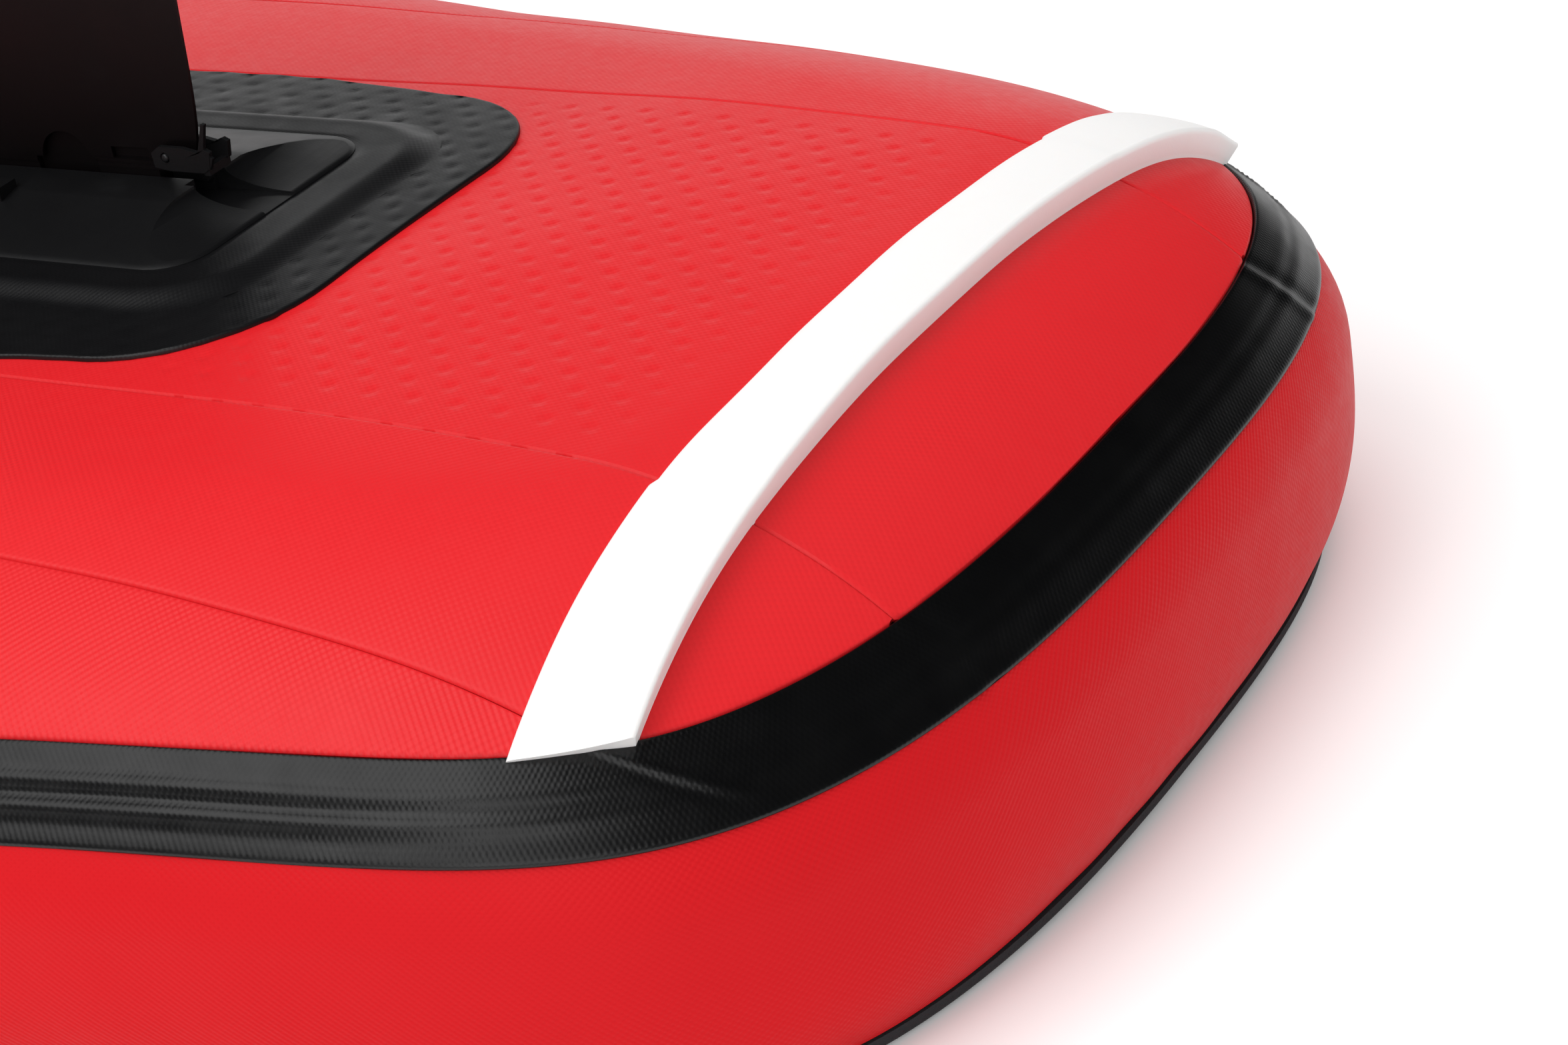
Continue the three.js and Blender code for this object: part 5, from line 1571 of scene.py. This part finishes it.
def ring_shell():
    """A D ring of round wire: bar along Y at the origin, bow hanging down in the YZ plane."""
    reach = RING_HALF - RING_WIRE / 2
    corner = 0.003
    path = [(0, y, 0) for y in np.linspace(-reach + corner, reach - corner, 12)]
    for k in range(1, 9):
        a = math.pi / 2 - k / 8 * math.pi / 2
        path.append((0, reach - corner + corner * math.cos(a), -corner + corner * math.sin(a)))
    for k in range(1, 41):
        a = -k / 41 * math.pi
        path.append((0, reach * math.cos(a), -RING_STRAIGHT + reach * math.sin(a)))
    path.append((0, -reach, -RING_STRAIGHT))
    for k in range(0, 8):
        a = math.pi - k / 8 * math.pi / 2
        path.append((0, -reach + corner + corner * math.cos(a), -corner + corner * math.sin(a)))
    path = np.array(path)
    closed = np.vstack([path, path[:1]])
    even = along_line(closed, np.arange(110) / 110 * arc_lengths(closed)[-1])
    return tube(Shell(), even, RING_WIRE / 2, 20, up=(1, 0, 0), closed=True)


def strap_faces(line, width, thickness, grid, selvedge, thinning, middle=0.0):
    """Both faces of a strap along a line in x and z, thinner at its selvedges, and its places.

    grid is the points along and across. selvedge has three shares of the half width: where the
    thinning starts, and two edge loops beyond it.
    """
    length = arc_lengths(line)[-1]
    wanted = np.linspace(0, length, grid[0])
    line = along_line(line, wanted)
    tangent = np.gradient(line, axis=0)
    tangent /= np.hypot(*tangent.T)[:, None]
    normal = np.stack([-tangent[:, 1], tangent[:, 0]], axis=-1)
    flat, near, outer = selvedge
    share = np.concatenate([[-1, -outer, -near], np.linspace(-flat, flat, grid[1]), [near, outer, 1]])
    across = share * width / 2
    thin = 1 - thinning * np.clip((np.abs(share) - flat) / (1 - flat), 0, 1) ** 2
    faces = []
    for side in (-1, 1):
        offset = middle + side * thickness / 2 * thin
        x = line[:, :1] + normal[:, :1] * offset
        z = line[:, 1:] + normal[:, 1:] * offset
        faces.append(np.stack([x, across + 0 * x, z], axis=-1))
    places = np.stack([wanted[:, None] + 0 * across, across + 0 * wanted[:, None]], axis=-1)
    return faces, places


def webbing_shell():
    """A strap folded round the ring's bar, with its two ends stitched flat."""
    flat = LOOP_RADIUS - 0.00045
    angles = np.radians(np.linspace(140, 400, 30))
    line = [(-0.018, flat), (-0.012, flat), (-0.0065, flat), (-0.0045, flat - 0.0002)]
    line += [(LOOP_RADIUS * math.cos(a), LOOP_RADIUS * math.sin(a)) for a in angles]
    line += [(0.0045, flat - 0.0002), (0.0065, flat), (0.012, flat), (0.018, flat)]
    selvedge = (0.9, 0.95, 0.985)
    faces, places = strap_faces(np.array(line), LOOP_WIDTH, LOOP_THICKNESS, (60, 19), selvedge, 0.45)
    shell = closed_sheet(Shell(), *faces[::-1], places)
    low = flat - LOOP_THICKNESS / 2
    for ends in ((-0.0168, -0.0072), (0.0072, 0.0168)):
        stitches(shell, ends, (-0.0095, -0.0065, 0.0065, 0.0095), low, -1)
    return shell


def shifted(shell, origin):
    """The shell moved by a vector."""
    shell.points = [p + np.asarray(origin) for p in shell.points]
    return shell


def hanging_ring(name, u, y):
    """A ring under the deck with its webbing and its raised round patch."""
    place = to_row(deck_points(-u, np.array([float(y)]), 0.0))[0] - np.array([0, 0, RING_DROP])
    disc = round_patch(0.030, 0.0018, RING_DROP - LOOP_RADIUS - 0.0004)
    place_on_deck(disc, -u, y)
    make(f"{name}_disc", in_row(disc), [DECK_BLACK], "board", f"{name}_patch", weld=1e-7)
    strap = shifted(webbing_shell(), place)
    make(f"{name}_strap", strap, [STRAP_BLACK, THREAD], "board", f"{name}_webbing", weld=1e-7)
    wire = shifted(ring_shell(), place)
    make(f"{name}_wire", wire, [STEEL], f"{name}_ring", f"{name}_ring")


def tow_ring():
    """The towing ring on the nose, lying down and pointing forward."""
    x = -TOW_U
    angles = circle(96)
    profile = [(0, 0.0001), (0.030, 0.0001), (0.030, 0.0010), (0.0296, 0.0015), (0.029, 0.0017)]
    profile += [(0.025, 0.0018), (0.022, 0.0022), (0.020, 0.0030), (0.019, 0.0033), (0.012, 0.0034)]
    profile += [(0, 0.0034)]
    rings = []
    for radius, height in profile:
        px, py = x + radius * np.cos(angles), radius * np.sin(angles)
        rings.append(bottom_points(px, py, height))
    disc = loft(Shell(), rings)
    make("tow_disc", in_row(disc), [PATCH_BLACK], "board", "tow_patch", weld=1e-7)
    ahead = bottom_points(x + 0.001, np.array([0.0]))[0]
    behind = bottom_points(x - 0.001, np.array([0.0]))[0]
    here = bottom_points(x, np.array([0.0]))[0]
    slope = math.atan((ahead[2] - behind[2]) / 0.002)
    turn = np.array(Matrix.Rotation(-slope, 3, "Y"))
    stand = np.array([here[0], 0.0, here[2] + RING_RISE])
    strap = webbing_shell()
    strap.points = [(p * HUNG) @ turn.T + stand for p in strap.points]
    strap.faces = [f[::-1] for f in strap.faces]
    make("tow_strap", in_row(strap), [STRAP_BLACK, THREAD], "board", "tow_webbing", weld=1e-7)
    wire = ring_shell()
    lying = np.array(Matrix.Rotation(math.pi / 2, 3, "Y"))
    wire.points = [(p @ lying.T) @ turn.T + stand for p in wire.points]
    make("tow_wire", in_row(wire), [STEEL], "tow_ring", "tow_ring")


# ---- Carry handle -------------------------------------------------------
HANDLE_DROP = 0.042
STRAP_THICKNESS = 0.0026
STRAP_WIDTH = 0.038
STRAP_TAB = 0.0042
STRAP_PATH = (
    (-0.163, STRAP_TAB), (-0.112, STRAP_TAB), (-0.076, HANDLE_DROP),
    (0.076, HANDLE_DROP), (0.112, STRAP_TAB), (0.163, STRAP_TAB),
)


def rounded_path(points, radius, steps=10):
    """A polyline with its corners turned into smooth bends."""
    made = [np.array(points[0], float)]
    for before, here, after in zip(points, points[1:], points[2:]):
        before, here, after = (np.array(p, float) for p in (before, here, after))
        a = here + (before - here) / np.linalg.norm(before - here) * radius
        b = here + (after - here) / np.linalg.norm(after - here) * radius
        for t in np.linspace(0, 1, steps):
            made.append((1 - t) ** 2 * a + 2 * t * (1 - t) * here + t * t * b)
    made.append(np.array(points[-1], float))
    return np.array(made)


GRIP_HALF_LENGTH = 0.062
GRIP_HALF_WIDTH = 0.0268
GRIP_HALF_HEIGHT = 0.0128


def handle_patches():
    """The two glued patches that the handle is sewn to."""
    for word, sign in (("rear", 1), ("front", -1)):
        outline = resampled(rounded_rectangle(-0.036, 0.036, 0.028, 0.010), 0.0025)
        rings = [level(0 * outline, 0.0001)]
        for inset, height in ((0, 0.0001), (0, 0.0024), (0.0004, 0.0031), (0.001, 0.0034), (0.006, 0.0036)):
            rings.append(level(moved_in(outline, inset), height))
        rings.append(level(0 * outline, 0.0040))
        disc = loft(Shell(), rings)
        place_on_deck(disc, -HANDLE_U + sign * 0.136, 0.0)
        patch = f"handle_patch_{word}"
        make(f"handle_pad_{word}", in_row(disc), [DECK_BLACK], "board", patch, weld=1e-7)


def carry_handle():
    """Webbing strap with a padded grip, sewn to two glued patches."""
    base = float(deck_points(-HANDLE_U, np.array([0.0]), 0.0)[0, 2])
    handle_patches()
    line = rounded_path(STRAP_PATH, 0.014)
    half = STRAP_THICKNESS / 2
    selvedge = (0.92, 0.96, 0.99)
    faces, places = strap_faces(line, STRAP_WIDTH, STRAP_THICKNESS, (150, 23), selvedge, 0.4, half)
    for face in faces:
        face[..., 0] -= HANDLE_U
        face[..., 2] = base - face[..., 2]
    strap = closed_sheet(Shell(), *faces, places)
    tab = base - STRAP_TAB - STRAP_THICKNESS
    for ends in ((-HANDLE_U - 0.158, -HANDLE_U - 0.118), (-HANDLE_U + 0.118, -HANDLE_U + 0.158)):
        stitches(strap, ends, (-0.0165, -0.0055, 0.0055, 0.0165), tab, -1)
    looks = [STRAP_BLACK, THREAD]
    make("handle_webbing", in_row(strap), looks, "board", "handle_strap", weld=1e-7)

    angles = circle(72)
    rings, places = [], []
    end = np.array([0.95, 0.98, 0.995, 1, 1])
    rounding = np.array([1, 0.98, 0.93, 0.86, 0])
    along = np.concatenate([-end[::-1], np.linspace(-0.9, 0.9, 49), end])
    shrink = np.concatenate([rounding[::-1], np.ones(49), rounding])
    sides = np.sign(np.cos(angles)) * np.abs(np.cos(angles)) ** 0.85
    middle = base - HANDLE_DROP - half
    for t, scale in zip(along, shrink):
        crease = 1 - 0.02 * bump((t * 62) % 15.5, 7.75, 1.2)
        y = GRIP_HALF_WIDTH * scale * crease * sides
        z = GRIP_HALF_HEIGHT * scale * crease * np.sin(angles)
        seam = 0.0006 * bump(angles, math.pi * 0.5, 0.05) * scale
        x = t * GRIP_HALF_LENGTH
        rings.append(np.stack([x - HANDLE_U + 0 * y, y, middle + z - seam], axis=-1))
        places.append(np.stack([0 * y + x, angles * 0.02], axis=-1))
    grip = in_row(loft(Shell(), rings, np.stack(places)))
    piece = make("handle_grip_sleeve", grip, [FOAM_DARK], "board", "handle_grip", weld=1e-7)


# ---- Camera, light and floor --------------------------------------------
CAMERA_ON_BOARD = (0.4617, -0.8880, 0.5288)
CAMERA_YAW = math.radians(34.82)
CAMERA_PITCH = math.radians(27.02)
CAMERA_ROLL = math.radians(-10.447)
CAMERA_LENS = 85.0855


def camera():
    """The camera, looking down at the tail from behind its left side."""
    yaw, pitch, roll = CAMERA_YAW, CAMERA_PITCH, CAMERA_ROLL
    ahead = np.array([-math.sin(yaw) * math.cos(pitch), math.cos(yaw) * math.cos(pitch), -math.sin(pitch)])
    right = np.array([math.cos(yaw), math.sin(yaw), 0.0])
    over = np.cross(right, ahead)
    x_axis = math.cos(roll) * right + math.sin(roll) * over
    y_axis = -math.sin(roll) * right + math.cos(roll) * over
    axes = turn_to_row(np.array([x_axis, y_axis, -ahead]))
    place = Matrix(axes.T.tolist()).to_4x4()
    place.translation = Vector(to_row(np.array(CAMERA_ON_BOARD)))
    data = bpy.data.cameras.new("camera")
    data.lens = CAMERA_LENS
    data.sensor_width = 36.0
    data.clip_start = 0.01
    data.clip_end = 100.0
    made = bpy.data.objects.new("camera", data)
    made.matrix_world = place
    bpy.context.scene.collection.objects.link(made)
    bpy.context.scene.camera = made


def from_camera(right, ahead, up):
    """A direction given by the camera's own right and ahead on the level, and up."""
    sin, cos = math.sin(CAMERA_YAW), math.cos(CAMERA_YAW)
    return Vector((right * cos - ahead * sin, right * sin + ahead * cos, up)).normalized()


def soft_light(name, toward, distance, size, brightness, mirrored):
    """A large soft lamp over the tail. brightness is what a mirror would see in it, if mirrored."""
    data = bpy.data.lights.new(name, "AREA")
    data.shape = "RECTANGLE"
    data.size, data.size_y = size
    data.energy = brightness * math.pi * size[0] * size[1]
    made = bpy.data.objects.new(name, data)
    back = from_camera(*toward)
    made.location = Vector(LIT_POINT) + back * distance
    made.rotation_mode = "QUATERNION"
    made.rotation_quaternion = (-back).to_track_quat("-Z", "Y")
    made.visible_camera = False
    made.visible_glossy = mirrored
    bpy.context.scene.collection.objects.link(made)


LIT_POINT = (1.35, 0.0, 0.12)
WORLD_BRIGHTNESS = 0.52
FLOOR_GLOW = 0.14
FLOOR_HALF = 9
FLOOR_DROP = 0.0004
# Name, direction from the camera (right, ahead, up), distance, size, brightness, mirrored.
LAMPS = (
    ("key", (-0.50, -0.30, 0.82), 2.2, (1.9, 1.7), 2.3, True),
    ("backdrop", (-0.10, 0.97, 0.20), 3.4, (4.2, 1.3), 1.0, True),
    ("top_fill", (0.25, 0.10, 0.95), 3.0, (3.0, 3.0), 1.2, False),
    ("front_left", (-0.30, -0.88, 0.36), 2.8, (1.6, 1.4), 2.2, True),
)


def studio():
    """Plain pale floor, soft lamps and an even pale surround."""
    scene = bpy.context.scene
    scene.view_settings.view_transform = "Standard"
    scene.view_settings.look = "None"
    world = bpy.data.worlds.new("studio")
    scene.world = world
    world.use_nodes = True
    sky = world.node_tree.nodes["Background"]
    sky.inputs["Color"].default_value = (1.0, 1.0, 1.0, 1)
    sky.inputs["Strength"].default_value = WORLD_BRIGHTNESS
    world.cycles_visibility.glossy = False
    for lamp in LAMPS:
        soft_light(*lamp)

    far = FLOOR_HALF
    floor = Shell().add([(-far, -far, 0), (far, -far, 0), (far, far, 0), (-far, far, 0)], [(0, 1, 2, 3)])
    pale, shaded = (0.93, 0.93, 0.93), (0.91, 0.91, 0.91)
    look = Look("floor_pale", pale, 0.9, specular=0.1)
    cloud = look.noise(0.4, 3)
    look.color((None, pale), (look.range(cloud, 0.0, 1.0, 0.0, 0.5), shaded))
    look.set("Emission Color", (1, 1, 1, 1))
    look.set("Emission Strength", FLOOR_GLOW)
    data = floor.mesh("floor")
    data.materials.append(look.material)
    made = bpy.data.objects.new("floor", data)
    made.location.z = -FLOOR_DROP
    scene.collection.objects.link(made)


camera()
studio()
bottom_skin()
seam_tape()
side_wall()
deck_skin()
deck_pad()
kick_pad()
release_edge()
fin_patch()
mound()
fin_box()
fin_blade()
lock_clip()
clip_pin_piece()
valve()
hanging_ring("leash", LEASH_U, 0.0)
for row, row_u in zip(("rear", "front"), CARGO_U):
    hanging_ring(f"cargo_{row}_left", row_u, -CARGO_Y)
    hanging_ring(f"cargo_{row}_right", row_u, CARGO_Y)
tow_ring()
carry_handle()

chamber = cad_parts["drop_stitch_core"]
chamber.data.materials.clear()
chamber.data.materials.append(CORE)
